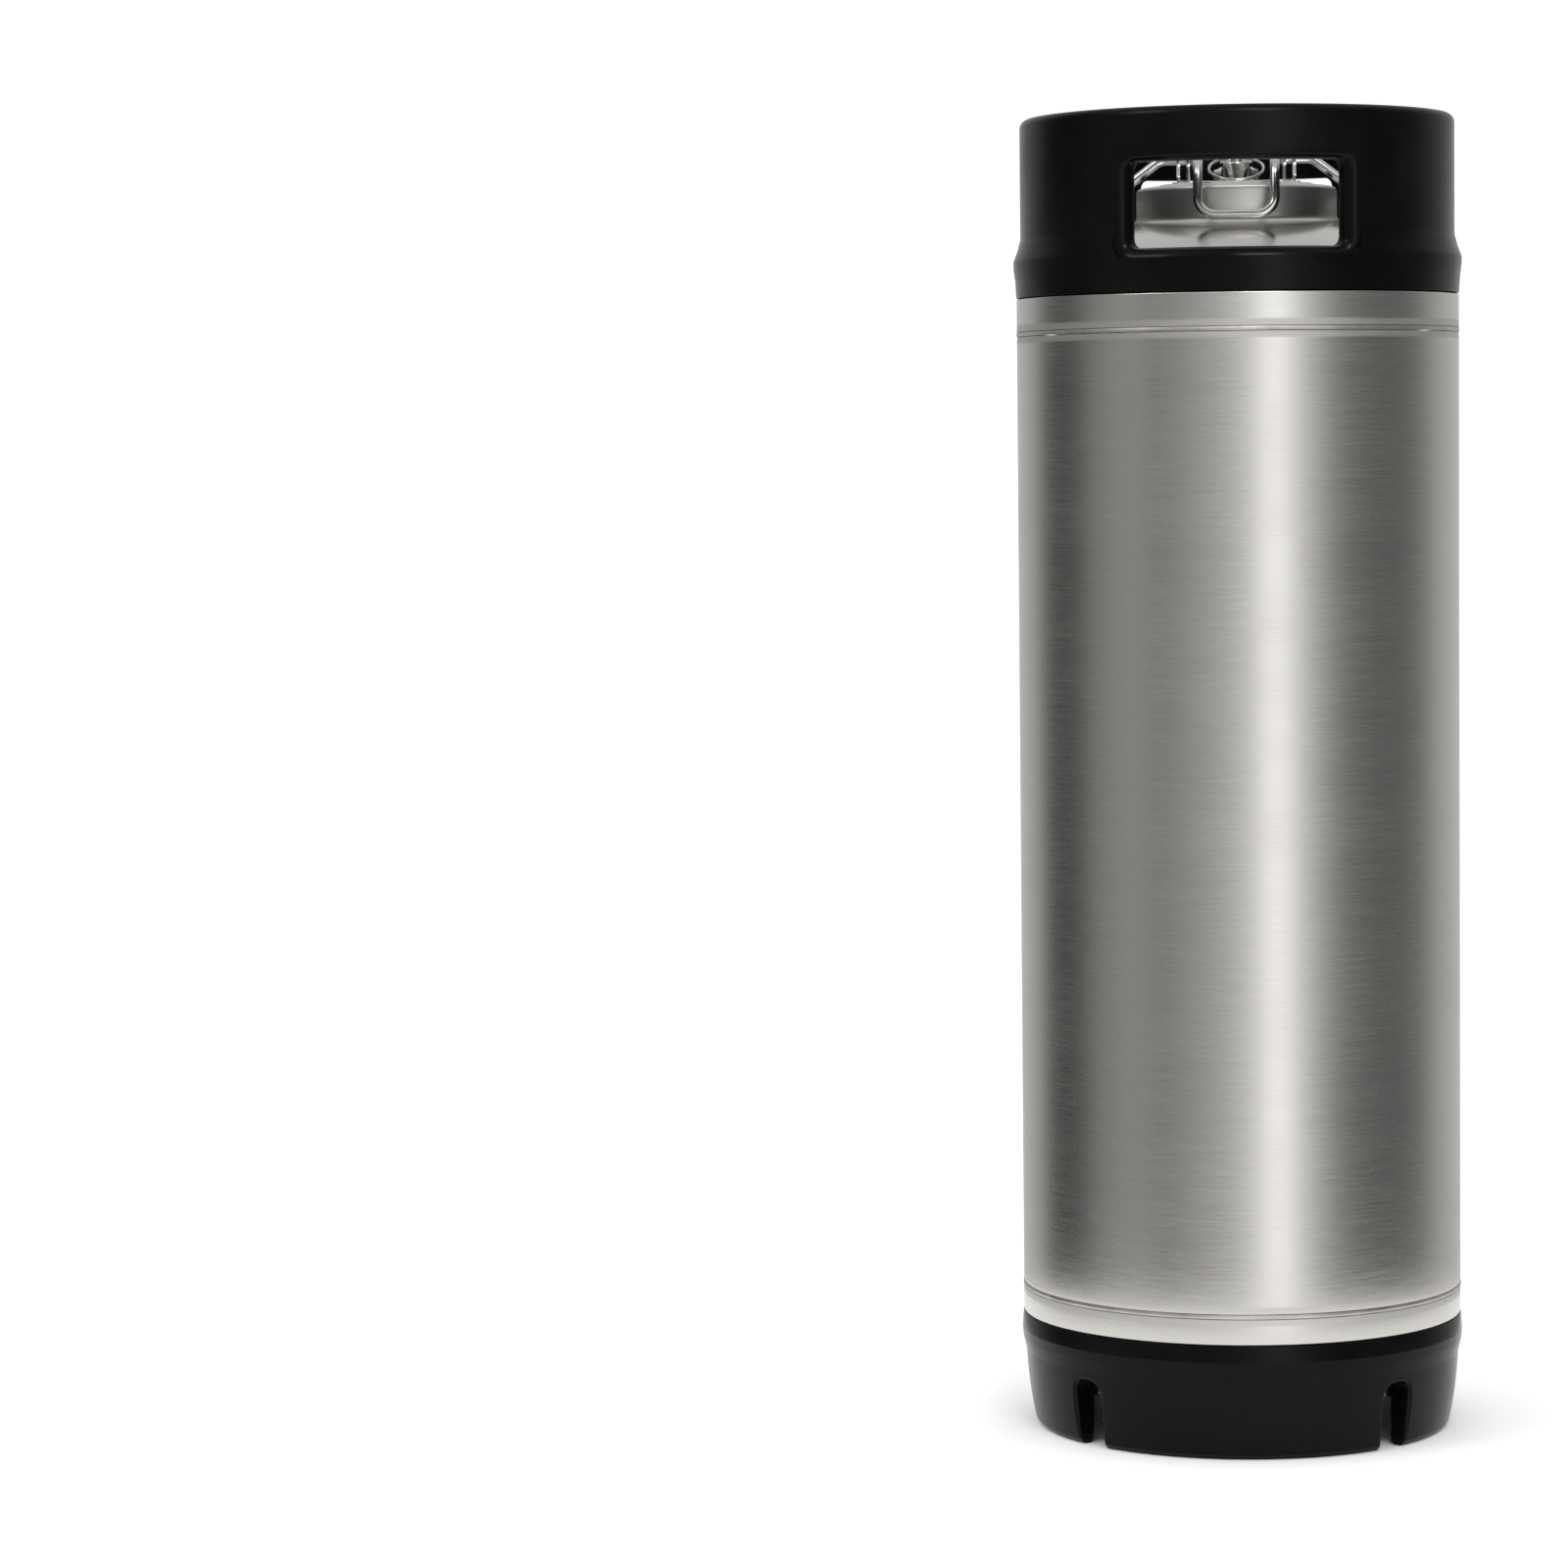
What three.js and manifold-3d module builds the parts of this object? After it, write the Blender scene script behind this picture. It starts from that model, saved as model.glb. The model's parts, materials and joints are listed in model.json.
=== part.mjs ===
// A five-gallon ball-lock keg: a stainless vessel between a rubber handle ring and a rubber base
// boot, with gas and liquid posts and a hand-clamped oval lid that carries a relief valve, a gas
// post and a diffusion stone on a hose. Millimetres, +Z up, origin on the floor under the axis.
// The front hand hole faces -Y, and the bail turns about X.
import * as THREE from "three";
import { mergeVertices, toCreasedNormals } from "three/addons/utils/BufferGeometryUtils.js";
import Module from "manifold-3d";

const wasm = await Module();
wasm.setup();

// Driving dimensions.
const KEG_HEIGHT = 644;
const BODY_RADIUS = 108;
const WALL = 1.5;
const GAP = 0.3; // what separate solids keep between them where they touch
const FACETS = 32; // round the keg
const SMALL_FACETS = 12; // round a fitting

// Vessel. Both heads are torispherical, with a crown as wide as the body and a tenth of it as
// the knuckle, and a small step where the rubber begins.
const LOWER_WELD_Z = 70;
const UPPER_WELD_Z = 539;
const WELD_HALF_WIDTH = 1.3;
const NECK_RADIUS = BODY_RADIUS - 1.8;
const CROWN_RADIUS = 2 * BODY_RADIUS;
const KNUCKLE_RADIUS = 0.2 * BODY_RADIUS;
const UPPER_TANGENT_Z = 558;
const LOWER_TANGENT_Z = 54.8;
const KNUCKLE_CENTRE = NECK_RADIUS - KNUCKLE_RADIUS;
const CROWN_OFFSET = Math.sqrt((CROWN_RADIUS - KNUCKLE_RADIUS) ** 2 - KNUCKLE_CENTRE ** 2);
const CROWN_CENTRE_Z = UPPER_TANGENT_Z - CROWN_OFFSET;

// Rubber.
const RUBBER_GAP = 0.4;
const RING_INNER_RADIUS = 96;
const RING_OUTER_RADIUS = 106;
const HAND_HOLE = { halfWidth: 54, low: 577, high: 619, corner: 8 };
const BOOT_INNER_RADIUS = 94;
const NOTCH = { width: 17, height: 33 };

// Lid opening. Every oval is this much longer than wide on each side of the centre.
const OVAL_STRETCH = 8.5;
const COLLAR_HALF_WIDTH = 49;
const COLLAR_TOP_Z = 609.5;
const LIP_HALF_WIDTH = 42.5;
const LIP_THICKNESS = 1.8;

// Lid, its seal and what stands on it.
const LID_TOP_Z = 611;
const LID_SHEET = 1.8;
const ISLAND_HALF_WIDTH = 39.7;
const LID_FLANGE_HALF_WIDTH = 46.5;
const SEAL_RADIUS = 3.5;
const SEAL_HALF_WIDTH = ISLAND_HALF_WIDTH + GAP + SEAL_RADIUS;
const SEAL_Z = COLLAR_TOP_Z - LIP_THICKNESS - GAP - SEAL_RADIUS;
const LID_FLANGE_TOP_Z = SEAL_Z - SEAL_RADIUS - GAP;
const LID_POST_Y = 27;
const RELIEF_VALVE_Y = -3;

// Relief valve: the radius of its shank, and heights from the lid's top face.
const VALVE = {
  shank: 6.7,
  bottom: -10.5,
  seat: -6.2,
  chamberTop: 5.5,
  slotFloor: 7.8,
  top: 11,
  hole: 13.4,
  stemTop: 16.2,
};

// The ring that pulls the relief valve open, and how far in degrees it hangs below level.
const PULL_RING = { radius: 13.3, wire: 0.7, droop: 27 };

// Bail.
const WIRE_RADIUS = 2.3;
const PIVOT_Z = 623.5;
const EAR_X = 25.8;
const HANDLE_HALF_WIDTH = 18.4;
const FOOT_X = 57;

// Posts on the head.
const POST_X = 77;
const POST_BASE_Z = 592;
const POST_BASE_FLATS = 22.2;
const POST_RADIUS = 8.5;
const BOSS_RADIUS = 10;
const BOSS_THREAD_RADIUS = 9.2;

// Gas hose and diffusion stone under the lid.
const HOSE_RADIUS = 5.25;
const HOSE_TOP_Z = 600.7;
const HOSE_END_Z = 181;
const HOSE_ROUTE = [
  [0, 27, HOSE_TOP_Z],
  [0, 27, 580],
  [0.6, 27.4, 550],
  [2.4, 28.6, 520],
  [5, 30.4, 490],
  [7.8, 32.3, 460],
  [10.2, 34, 430],
  [11.6, 35, 400],
  [12, 35.2, 370],
  [11.2, 34.6, 340],
  [9.4, 33.2, 310],
  [6.8, 31.4, 280],
  [4, 29.4, 250],
  [1.6, 27.8, 222],
  [0.2, 27, 198],
  [0, 27, HOSE_END_Z],
];

// Materials.
const metal = (color, roughness) => ({ color, roughness, metalness: 1 });
const soft = (color, roughness) => ({ color, roughness, metalness: 0 });
const BRUSHED_STEEL = metal(0xb9b6b0, 0.34);
const POLISHED_STEEL = metal(0xc9c8c5, 0.12);
const TURNED_STEEL = metal(0xbfbdb8, 0.22);
const BLACK_RUBBER = soft(0x141415, 0.38);
const SEAL_RUBBER = soft(0x19191a, 0.55);
const GREY_RUBBER = soft(0xa9aaa8, 0.6);
const CLEAR_VINYL = soft(0xdfe3e0, 0.2);
const SINTERED_STEEL = metal(0x8d8b87, 0.8);

// ---- Geometry helpers -----------------------------------------------------------------------

// Position-only geometry with shared vertices and no collapsed triangles.
function cleaned(geometry) {
  const bare = new THREE.BufferGeometry()
    .setAttribute("position", geometry.attributes.position)
    .setIndex(geometry.index);
  const merged = mergeVertices(bare, 1e-4);
  const kept = [];
  const index = merged.index.array;
  for (let i = 0; i < index.length; i += 3) {
    const [a, b, c] = [index[i], index[i + 1], index[i + 2]];
    if (a !== b && b !== c && a !== c) kept.push(a, b, c);
  }
  merged.setIndex(kept);
  return merged;
}

function solidOf(geometry) {
  const shape = cleaned(geometry);
  return new wasm.Manifold(
    new wasm.Mesh({
      numProp: 3,
      vertProperties: new Float32Array(shape.attributes.position.array),
      triVerts: new Uint32Array(shape.index.array),
    }),
  );
}

function geometryOf(solid) {
  const mesh = solid.getMesh();
  return new THREE.BufferGeometry()
    .setAttribute("position", new THREE.BufferAttribute(mesh.vertProperties, 3))
    .setIndex(new THREE.BufferAttribute(mesh.triVerts, 1));
}

function join(...geometries) {
  return geometryOf(geometries.map(solidOf).reduce((all, one) => all.add(one)));
}

function cut(base, ...tools) {
  return geometryOf(tools.map(solidOf).reduce((left, tool) => left.subtract(tool), solidOf(base)));
}

// Points [r, z] on a circular arc of a profile, both ends included.
function arc(centreR, centreZ, radius, fromDegrees, toDegrees, steps) {
  return Array.from({ length: steps + 1 }, (_, i) => {
    const angle = THREE.MathUtils.degToRad(THREE.MathUtils.lerp(fromDegrees, toDegrees, i / steps));
    return [centreR + radius * Math.cos(angle), centreZ + radius * Math.sin(angle)];
  });
}

// A solid of revolution about Z. The profile [r, z] either starts and ends on the axis or closes
// on itself, and is turned the way that makes its faces point out.
function lathe(profile, facets = SMALL_FACETS) {
  const onAxis = profile[0][0] === 0 && profile.at(-1)[0] === 0;
  const loop = onAxis ? [...profile] : [...profile, profile[0]];
  const area = loop.reduce((sum, [r, z], i) => {
    const [nextR, nextZ] = loop[(i + 1) % loop.length];
    return sum + r * nextZ - nextR * z;
  }, 0);
  if (area < 0) loop.reverse();
  const points = loop.map(([r, z]) => new THREE.Vector2(r, z));
  return cleaned(new THREE.LatheGeometry(points, facets).rotateX(Math.PI / 2));
}

// A lathe drawn out along Y by OVAL_STRETCH each way, for the lid and everything it seals against.
function ovalLathe(profile) {
  const geometry = lathe(profile, FACETS);
  const position = geometry.attributes.position;
  for (let i = 0; i < position.count; i += 1) {
    const [x, y] = [position.getX(i), position.getY(i)];
    const radius = Math.hypot(x, y);
    if (radius > 0) position.setY(i, y + (OVAL_STRETCH * y) / radius);
  }
  return geometry;
}

function cylinder(radius, low, high, facets = SMALL_FACETS) {
  return lathe([[0, low], [radius, low], [radius, high], [0, high]], facets);
}

function ring(inner, outer, low, high, facets = SMALL_FACETS) {
  return lathe([[inner, low], [outer, low], [outer, high], [inner, high]], facets);
}

function hexagon(acrossFlats, low, high) {
  return cylinder(acrossFlats / Math.sqrt(3), low, high, 6);
}

function sealRing(centreRadius, sectionRadius, z, facets = SMALL_FACETS) {
  return lathe(arc(centreRadius, z, sectionRadius, 0, 360, 6).slice(0, -1), facets);
}

// A block between two opposite corners.
function block([x0, y0, z0], [x1, y1, z1]) {
  return new THREE.BoxGeometry(x1 - x0, y1 - y0, z1 - z0).translate(
    (x0 + x1) / 2,
    (y0 + y1) / 2,
    (z0 + z1) / 2,
  );
}

// A plate whose outline lies in the YZ plane, standing from x0 to x1.
function plateAcrossX(outline, x0, x1) {
  return new THREE.ExtrudeGeometry(outline, { depth: x1 - x0, bevelEnabled: false, curveSegments: 8 })
    .rotateZ(Math.PI / 2)
    .rotateY(Math.PI / 2)
    .translate(x0, 0, 0);
}

function circleShape(radius, sides) {
  const points = Array.from({ length: sides }, (_, i) => {
    const angle = (2 * Math.PI * i) / sides;
    return new THREE.Vector2(radius * Math.cos(angle), radius * Math.sin(angle));
  });
  return new THREE.Shape(points);
}

function rodAlong(curve, radius, steps, sides) {
  const extrusion = { steps, extrudePath: curve, bevelEnabled: false };
  return new THREE.ExtrudeGeometry(circleShape(radius, sides), extrusion);
}

// Straight runs through the corners, each corner rounded off over its own reach.
function bentPath(corners) {
  const path = new THREE.CurvePath();
  let from = new THREE.Vector3(...corners[0].at);
  corners.slice(1, -1).forEach(({ at, reach }, i) => {
    const corner = new THREE.Vector3(...at);
    const next = new THREE.Vector3(...corners[i + 2].at);
    const start = corner.clone().add(from.clone().sub(corner).setLength(reach));
    const end = corner.clone().add(next.clone().sub(corner).setLength(reach));
    path.add(new THREE.LineCurve3(from, start));
    path.add(new THREE.QuadraticBezierCurve3(start, corner, end));
    from = end;
  });
  path.add(new THREE.LineCurve3(from, new THREE.Vector3(...corners.at(-1).at)));
  return path;
}

class Helix extends THREE.Curve {
  constructor(radius, low, high, turns) {
    super();
    Object.assign(this, { radius, low, high, turns });
  }

  getPoint(t, target = new THREE.Vector3()) {
    const angle = 2 * Math.PI * this.turns * t;
    return target.set(
      this.radius * Math.cos(angle),
      this.radius * Math.sin(angle),
      THREE.MathUtils.lerp(this.low, this.high, t),
    );
  }
}

function coilSpring(radius, wireRadius, low, high, turns) {
  const helix = new Helix(radius, low + wireRadius, high - wireRadius, turns);
  return rodAlong(helix, wireRadius, turns * 8, 4);
}

// ---- Scene helpers --------------------------------------------------------------------------

const CREASE = THREE.MathUtils.degToRad(25);

function node(name, finish, geometry) {
  const mesh = new THREE.Mesh(
    toCreasedNormals(cleaned(geometry), CREASE),
    new THREE.MeshStandardMaterial(finish),
  );
  mesh.name = name;
  return mesh;
}

function groupAt([x, y, z], ...children) {
  const group = new THREE.Group();
  group.position.set(x, y, z);
  group.add(...children);
  return group;
}

// ---- Vessel ---------------------------------------------------------------------------------

// Height of the top head's outer surface above the floor, at a distance from the axis.
function crownHeight(radius) {
  return CROWN_CENTRE_Z + Math.sqrt(CROWN_RADIUS ** 2 - radius ** 2);
}

// A dished head from its girth weld to its crown. side is 1 for the top and -1 for the bottom.
function head(weldZ, tangentZ, side) {
  const meeting = THREE.MathUtils.radToDeg(Math.acos(KNUCKLE_CENTRE / (CROWN_RADIUS - KNUCKLE_RADIUS)));
  const lifted = ([r, h]) => [Math.abs(r) < 1e-6 ? 0 : r, tangentZ + side * h];
  const face = (inset) => [
    [BODY_RADIUS - inset, weldZ + side * WELD_HALF_WIDTH],
    [BODY_RADIUS - inset, tangentZ - side * (2 + 0.5 * inset)],
    [NECK_RADIUS - inset, tangentZ - side * 0.5],
    ...arc(KNUCKLE_CENTRE, 0, KNUCKLE_RADIUS - inset, 0, meeting, 4).map(lifted),
    ...arc(0, -CROWN_OFFSET, CROWN_RADIUS - inset, meeting, 90, 3).slice(1).map(lifted),
  ];
  return lathe([...face(0).reverse(), ...face(WALL)], FACETS);
}

// The raised oval neck of the opening: an upright wall with a lip that turns in over the seal.
function collar() {
  const inner = COLLAR_HALF_WIDTH - WALL;
  const foot = crownHeight(COLLAR_HALF_WIDTH + OVAL_STRETCH) - WALL;
  return ovalLathe([
    [inner, foot],
    [COLLAR_HALF_WIDTH, foot],
    [COLLAR_HALF_WIDTH, COLLAR_TOP_Z - 3],
    [COLLAR_HALF_WIDTH - 0.9, COLLAR_TOP_Z - 0.9],
    [COLLAR_HALF_WIDTH - 3, COLLAR_TOP_Z],
    [LIP_HALF_WIDTH, COLLAR_TOP_Z],
    [LIP_HALF_WIDTH, COLLAR_TOP_Z - LIP_THICKNESS],
    [inner, COLLAR_TOP_Z - LIP_THICKNESS],
  ]);
}

function topHead() {
  const wallMiddle = COLLAR_HALF_WIDTH - WALL / 2;
  const opening = ovalLathe([[0, 500], [wallMiddle, 500], [wallMiddle, 700], [0, 700]]);
  const bossHole = (x) => cylinder(BOSS_RADIUS + 0.4, 500, 700).translate(x, 0, 0);
  const pierced = cut(head(UPPER_WELD_Z, UPPER_TANGENT_Z, 1), opening, bossHole(-POST_X), bossHole(POST_X));
  return join(pierced, collar());
}

// A girth weld fills the gap between shell and head and stands half a millimetre proud.
function weldBead(z) {
  const reach = WELD_HALF_WIDTH - GAP;
  return lathe(
    [
      [BODY_RADIUS - WALL, z - reach],
      [BODY_RADIUS, z - reach],
      [BODY_RADIUS + 0.5, z],
      [BODY_RADIUS, z + reach],
      [BODY_RADIUS - WALL, z + reach],
    ],
    FACETS,
  );
}

function bodyShell() {
  const [low, high] = [LOWER_WELD_Z + WELD_HALF_WIDTH, UPPER_WELD_Z - WELD_HALF_WIDTH];
  return ring(BODY_RADIUS - WALL, BODY_RADIUS, low, high, FACETS);
}

// The rubber's inner face where it grips a head's knuckle, out to where a wall of the given
// radius leaves it.
function knuckleSeat(tangentZ, side, wallRadius) {
  const radius = KNUCKLE_RADIUS + RUBBER_GAP;
  const last = THREE.MathUtils.radToDeg(Math.acos((wallRadius - KNUCKLE_CENTRE) / radius));
  return arc(KNUCKLE_CENTRE, 0, radius, last, 0, 4).map(([r, h]) => [r, tangentZ + side * h]);
}

function handleRing() {
  const skirt = BODY_RADIUS + 1.5;
  const profile = [
    [BODY_RADIUS + 0.1, UPPER_TANGENT_Z - 1.6],
    [skirt - 0.7, UPPER_TANGENT_Z + 8.5],
    [skirt, UPPER_TANGENT_Z + 15.6],
    [skirt - 0.3, UPPER_TANGENT_Z + 18],
    [RING_OUTER_RADIUS + 0.6, UPPER_TANGENT_Z + 24],
    [RING_OUTER_RADIUS + 0.2, UPPER_TANGENT_Z + 28],
    ...arc(RING_OUTER_RADIUS - 4.5, KEG_HEIGHT - 4.5, 4.5, 0, 90, 3),
    ...arc(RING_INNER_RADIUS + 4, KEG_HEIGHT - 3, 3, 90, 180, 2),
    ...knuckleSeat(UPPER_TANGENT_Z, 1, RING_INNER_RADIUS),
    [NECK_RADIUS + RUBBER_GAP, UPPER_TANGENT_Z - 0.4],
  ];
  return cut(lathe(profile, FACETS), handHoleTool());
}

// One bar with rounded corners, long enough to open both hand holes at once.
function handHoleTool() {
  const { halfWidth, low, high, corner } = HAND_HOLE;
  const outline = new THREE.Shape()
    .moveTo(-halfWidth + corner, low)
    .lineTo(halfWidth - corner, low)
    .absarc(halfWidth - corner, low + corner, corner, -Math.PI / 2, 0)
    .lineTo(halfWidth, high - corner)
    .absarc(halfWidth - corner, high - corner, corner, 0, Math.PI / 2)
    .lineTo(-halfWidth + corner, high)
    .absarc(-halfWidth + corner, high - corner, corner, Math.PI / 2, Math.PI)
    .lineTo(-halfWidth, low + corner)
    .absarc(-halfWidth + corner, low + corner, corner, Math.PI, 1.5 * Math.PI);
  const length = 2 * BODY_RADIUS + 40;
  return new THREE.ExtrudeGeometry(outline, { depth: length, bevelEnabled: false, curveSegments: 4 })
    .rotateX(Math.PI / 2)
    .translate(0, length / 2, 0);
}

function baseBoot() {
  const profile = [
    [BOOT_INNER_RADIUS + 2, 0],
    [99.5, 0],
    [102, 2],
    [103.7, 8],
    [105.2, 18],
    [106.3, 28],
    [107.3, 40],
    [108.4, 42],
    [BODY_RADIUS + 0.8, 47],
    [BODY_RADIUS + 0.1, LOWER_TANGENT_Z + 1.6],
    [NECK_RADIUS + RUBBER_GAP, LOWER_TANGENT_Z + 0.4],
    ...knuckleSeat(LOWER_TANGENT_Z, -1, BOOT_INNER_RADIUS).reverse(),
    [BOOT_INNER_RADIUS, 3],
  ];
  return cut(lathe(profile, FACETS), ...[45, 135, 225, 315].map(notchTool));
}

// An arched bar that opens a drain notch through the boot's wall at an angle round the axis.
function notchTool(degrees) {
  const half = NOTCH.width / 2;
  const outline = new THREE.Shape()
    .moveTo(-half, -5)
    .lineTo(half, -5)
    .lineTo(half, NOTCH.height - half)
    .absarc(0, NOTCH.height - half, half, 0, Math.PI)
    .lineTo(-half, -5);
  return new THREE.ExtrudeGeometry(outline, { depth: 50, bevelEnabled: false, curveSegments: 8 })
    .rotateX(Math.PI / 2)
    .translate(0, -75, 0)
    .rotateZ(THREE.MathUtils.degToRad(degrees));
}

const vessel = groupAt(
  [0, 0, 0],
  node("body_shell", BRUSHED_STEEL, bodyShell()),
  node("top_head", POLISHED_STEEL, topHead()),
  node("bottom_head", BRUSHED_STEEL, head(LOWER_WELD_Z, LOWER_TANGENT_Z, -1)),
  node("upper_weld_bead", BRUSHED_STEEL, weldBead(UPPER_WELD_Z)),
  node("lower_weld_bead", BRUSHED_STEEL, weldBead(LOWER_WELD_Z)),
  node("handle_ring", BLACK_RUBBER, handleRing()),
  node("base_boot", BLACK_RUBBER, baseBoot()),
);

// ---- Posts ----------------------------------------------------------------------------------

// A post's own heights, from its bottom face.
const POST = { hexTop: 8.5, shoulder: 8.8, seat: 22, top: 27.5, grooveLow: 20.4, grooveHigh: 23.2 };
const BOSS_TOP = 6.8;
const SPRING_FOOT = 8.8;
const POPPET_DISC = { low: 17.5, high: 19, radius: 5.2 };
const CHAMBER_RADIUS = 5.8;
const PIN_BORE_RADIUS = 3.4;

function postBody() {
  const turned = lathe([
    [BOSS_THREAD_RADIUS + 0.4, 0],
    [10.6, 0],
    [10.6, POST.hexTop],
    [8.4, POST.hexTop + 1],
    [8.4, 12],
    [7.4, 13.4],
    [7.4, 16.8],
    [POST_RADIUS, 18.6],
    [POST_RADIUS, POST.grooveLow],
    [7, POST.grooveLow],
    [7, POST.grooveHigh],
    [POST_RADIUS, POST.grooveHigh],
    [POST_RADIUS, 25.6],
    [POST_RADIUS - 1, POST.top],
    [PIN_BORE_RADIUS, POST.top],
    [PIN_BORE_RADIUS, POST.seat + 2.4],
    [CHAMBER_RADIUS, POST.seat],
    [CHAMBER_RADIUS, POST.shoulder + 0.4],
    [BOSS_THREAD_RADIUS + 0.4, POST.shoulder],
  ]);
  const nut = cut(hexagon(POST_BASE_FLATS, 0.6, POST.hexTop), cylinder(10, -1, POST.hexTop + 1));
  return join(turned, nut);
}

function poppet() {
  return lathe([
    [0, POPPET_DISC.low - 2],
    [2.6, POPPET_DISC.low - 2],
    [2.6, POPPET_DISC.low],
    [POPPET_DISC.radius, POPPET_DISC.low],
    [POPPET_DISC.radius, POPPET_DISC.high],
    [1.8, POPPET_DISC.high],
    [1.8, 26.2],
    [1.3, 26.8],
    [0, 26.8],
  ]);
}

// The post with what is inside it. Its poppet is pushed down by a coupler and sprung back.
function postSet(prefix) {
  const sealLow = POPPET_DISC.high + GAP;
  return [
    node(prefix + "_post", TURNED_STEEL, postBody()),
    node(prefix + "_post_oring", SEAL_RUBBER, sealRing(8.25, 0.95, (POST.grooveLow + POST.grooveHigh) / 2)),
    node(prefix + "_poppet", TURNED_STEEL, poppet()),
    node(
      prefix + "_poppet_seal",
      SEAL_RUBBER,
      lathe([[2.1, sealLow], [5.1, sealLow], [4.6, sealLow + 2.1], [2.1, sealLow + 2.1]]),
    ),
    node(
      prefix + "_poppet_spring",
      TURNED_STEEL,
      coilSpring(4.2, 0.4, SPRING_FOOT, POPPET_DISC.low - GAP, 4),
    ),
  ];
}

// A threaded boss through the head, with a collar on which the post's base rests.
function boss() {
  return lathe([
    [4.6, -14],
    [BOSS_RADIUS, -14],
    [BOSS_RADIUS, -3.2],
    [12.3, -2.4],
    [12.3, -GAP],
    [BOSS_THREAD_RADIUS, -GAP],
    [BOSS_THREAD_RADIUS, BOSS_TOP],
    [7.4, BOSS_TOP],
    [7.4, 4.7],
    [4.6, 4.7],
  ]);
}

const TUBE_RADIUS = 4;
const TUBE_BORE = 3.2;
const TUBE_FLANGE = { low: 7.2, high: 8.4, radius: 8.9 };
const GAS_TUBE_BOTTOM = -48;
const LIQUID_TUBE = { bendZ: -470, bendReach: 60, footX: 12, footZ: 22 };

// The flange that a dip tube hangs by, with the tube's first stretch.
function tubeTop(bottom) {
  return lathe([
    [TUBE_BORE, bottom],
    [TUBE_RADIUS, bottom],
    [TUBE_RADIUS, TUBE_FLANGE.low],
    [TUBE_FLANGE.radius, TUBE_FLANGE.low],
    [TUBE_FLANGE.radius, TUBE_FLANGE.high],
    [TUBE_BORE, TUBE_FLANGE.high],
  ]);
}

// The long tube runs down the side and leans in to the middle of the bottom head.
function liquidTube() {
  const corners = [
    { at: [0, 0, TUBE_FLANGE.low + 0.5] },
    { at: [0, 0, LIQUID_TUBE.bendZ], reach: LIQUID_TUBE.bendReach },
    { at: [LIQUID_TUBE.footX - POST_X, 0, LIQUID_TUBE.footZ - POST_BASE_Z] },
  ];
  const outside = rodAlong(bentPath(corners), TUBE_RADIUS, 20, 8);
  const bore = rodAlong(bentPath(lengthened(corners, 8)), TUBE_BORE, 20, 8);
  return cut(join(outside, cylinder(TUBE_FLANGE.radius, TUBE_FLANGE.low, TUBE_FLANGE.high)), bore);
}

// The same path run on past both ends, for a bore that comes out at each.
function lengthened(corners, extra) {
  const vectors = corners.map(({ at }) => new THREE.Vector3(...at));
  const pushed = (end, next) => end.clone().add(end.clone().sub(next).setLength(extra)).toArray();
  return corners.map((corner, i) => {
    if (i === 0) return { ...corner, at: pushed(vectors[0], vectors[1]) };
    if (i === corners.length - 1) return { ...corner, at: pushed(vectors.at(-1), vectors.at(-2)) };
    return corner;
  });
}

const tubeSeal = () => sealRing(5.3, 0.95, 5.95);
const gasFitting = groupAt(
  [-POST_X, 0, POST_BASE_Z],
  node("gas_boss", TURNED_STEEL, boss()),
  node("gas_dip_tube", TURNED_STEEL, tubeTop(GAS_TUBE_BOTTOM)),
  node("gas_tube_seal", SEAL_RUBBER, tubeSeal()),
  ...postSet("gas"),
);
const liquidFitting = groupAt(
  [POST_X, 0, POST_BASE_Z],
  node("liquid_boss", TURNED_STEEL, boss()),
  node("liquid_dip_tube", TURNED_STEEL, liquidTube()),
  node("liquid_tube_seal", SEAL_RUBBER, tubeSeal()),
  ...postSet("liquid"),
);

// ---- Lid ------------------------------------------------------------------------------------

// A pressed plate: a raised oval island with a lower flange that carries the seal from below.
function lidPlate() {
  const under = ISLAND_HALF_WIDTH - LID_SHEET;
  const pressing = ovalLathe([
    [0, LID_TOP_Z],
    [ISLAND_HALF_WIDTH - 2, LID_TOP_Z],
    [ISLAND_HALF_WIDTH, LID_TOP_Z - 2],
    [ISLAND_HALF_WIDTH, LID_FLANGE_TOP_Z],
    [LID_FLANGE_HALF_WIDTH, LID_FLANGE_TOP_Z],
    [LID_FLANGE_HALF_WIDTH, LID_FLANGE_TOP_Z - LID_SHEET],
    [under, LID_FLANGE_TOP_Z - LID_SHEET],
    [under, LID_TOP_Z - LID_SHEET - 1.2],
    [under - 1.2, LID_TOP_Z - LID_SHEET],
    [0, LID_TOP_Z - LID_SHEET],
  ]);
  return cut(
    pressing,
    cylinder(BOSS_THREAD_RADIUS + 0.4, 590, 620).translate(0, LID_POST_Y, 0),
    cylinder(VALVE.shank + GAP, 590, 620).translate(0, RELIEF_VALVE_Y, 0),
  );
}

function lidSeal() {
  return ovalLathe(arc(SEAL_HALF_WIDTH, SEAL_Z, SEAL_RADIUS, 0, 360, 8).slice(0, -1));
}

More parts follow.
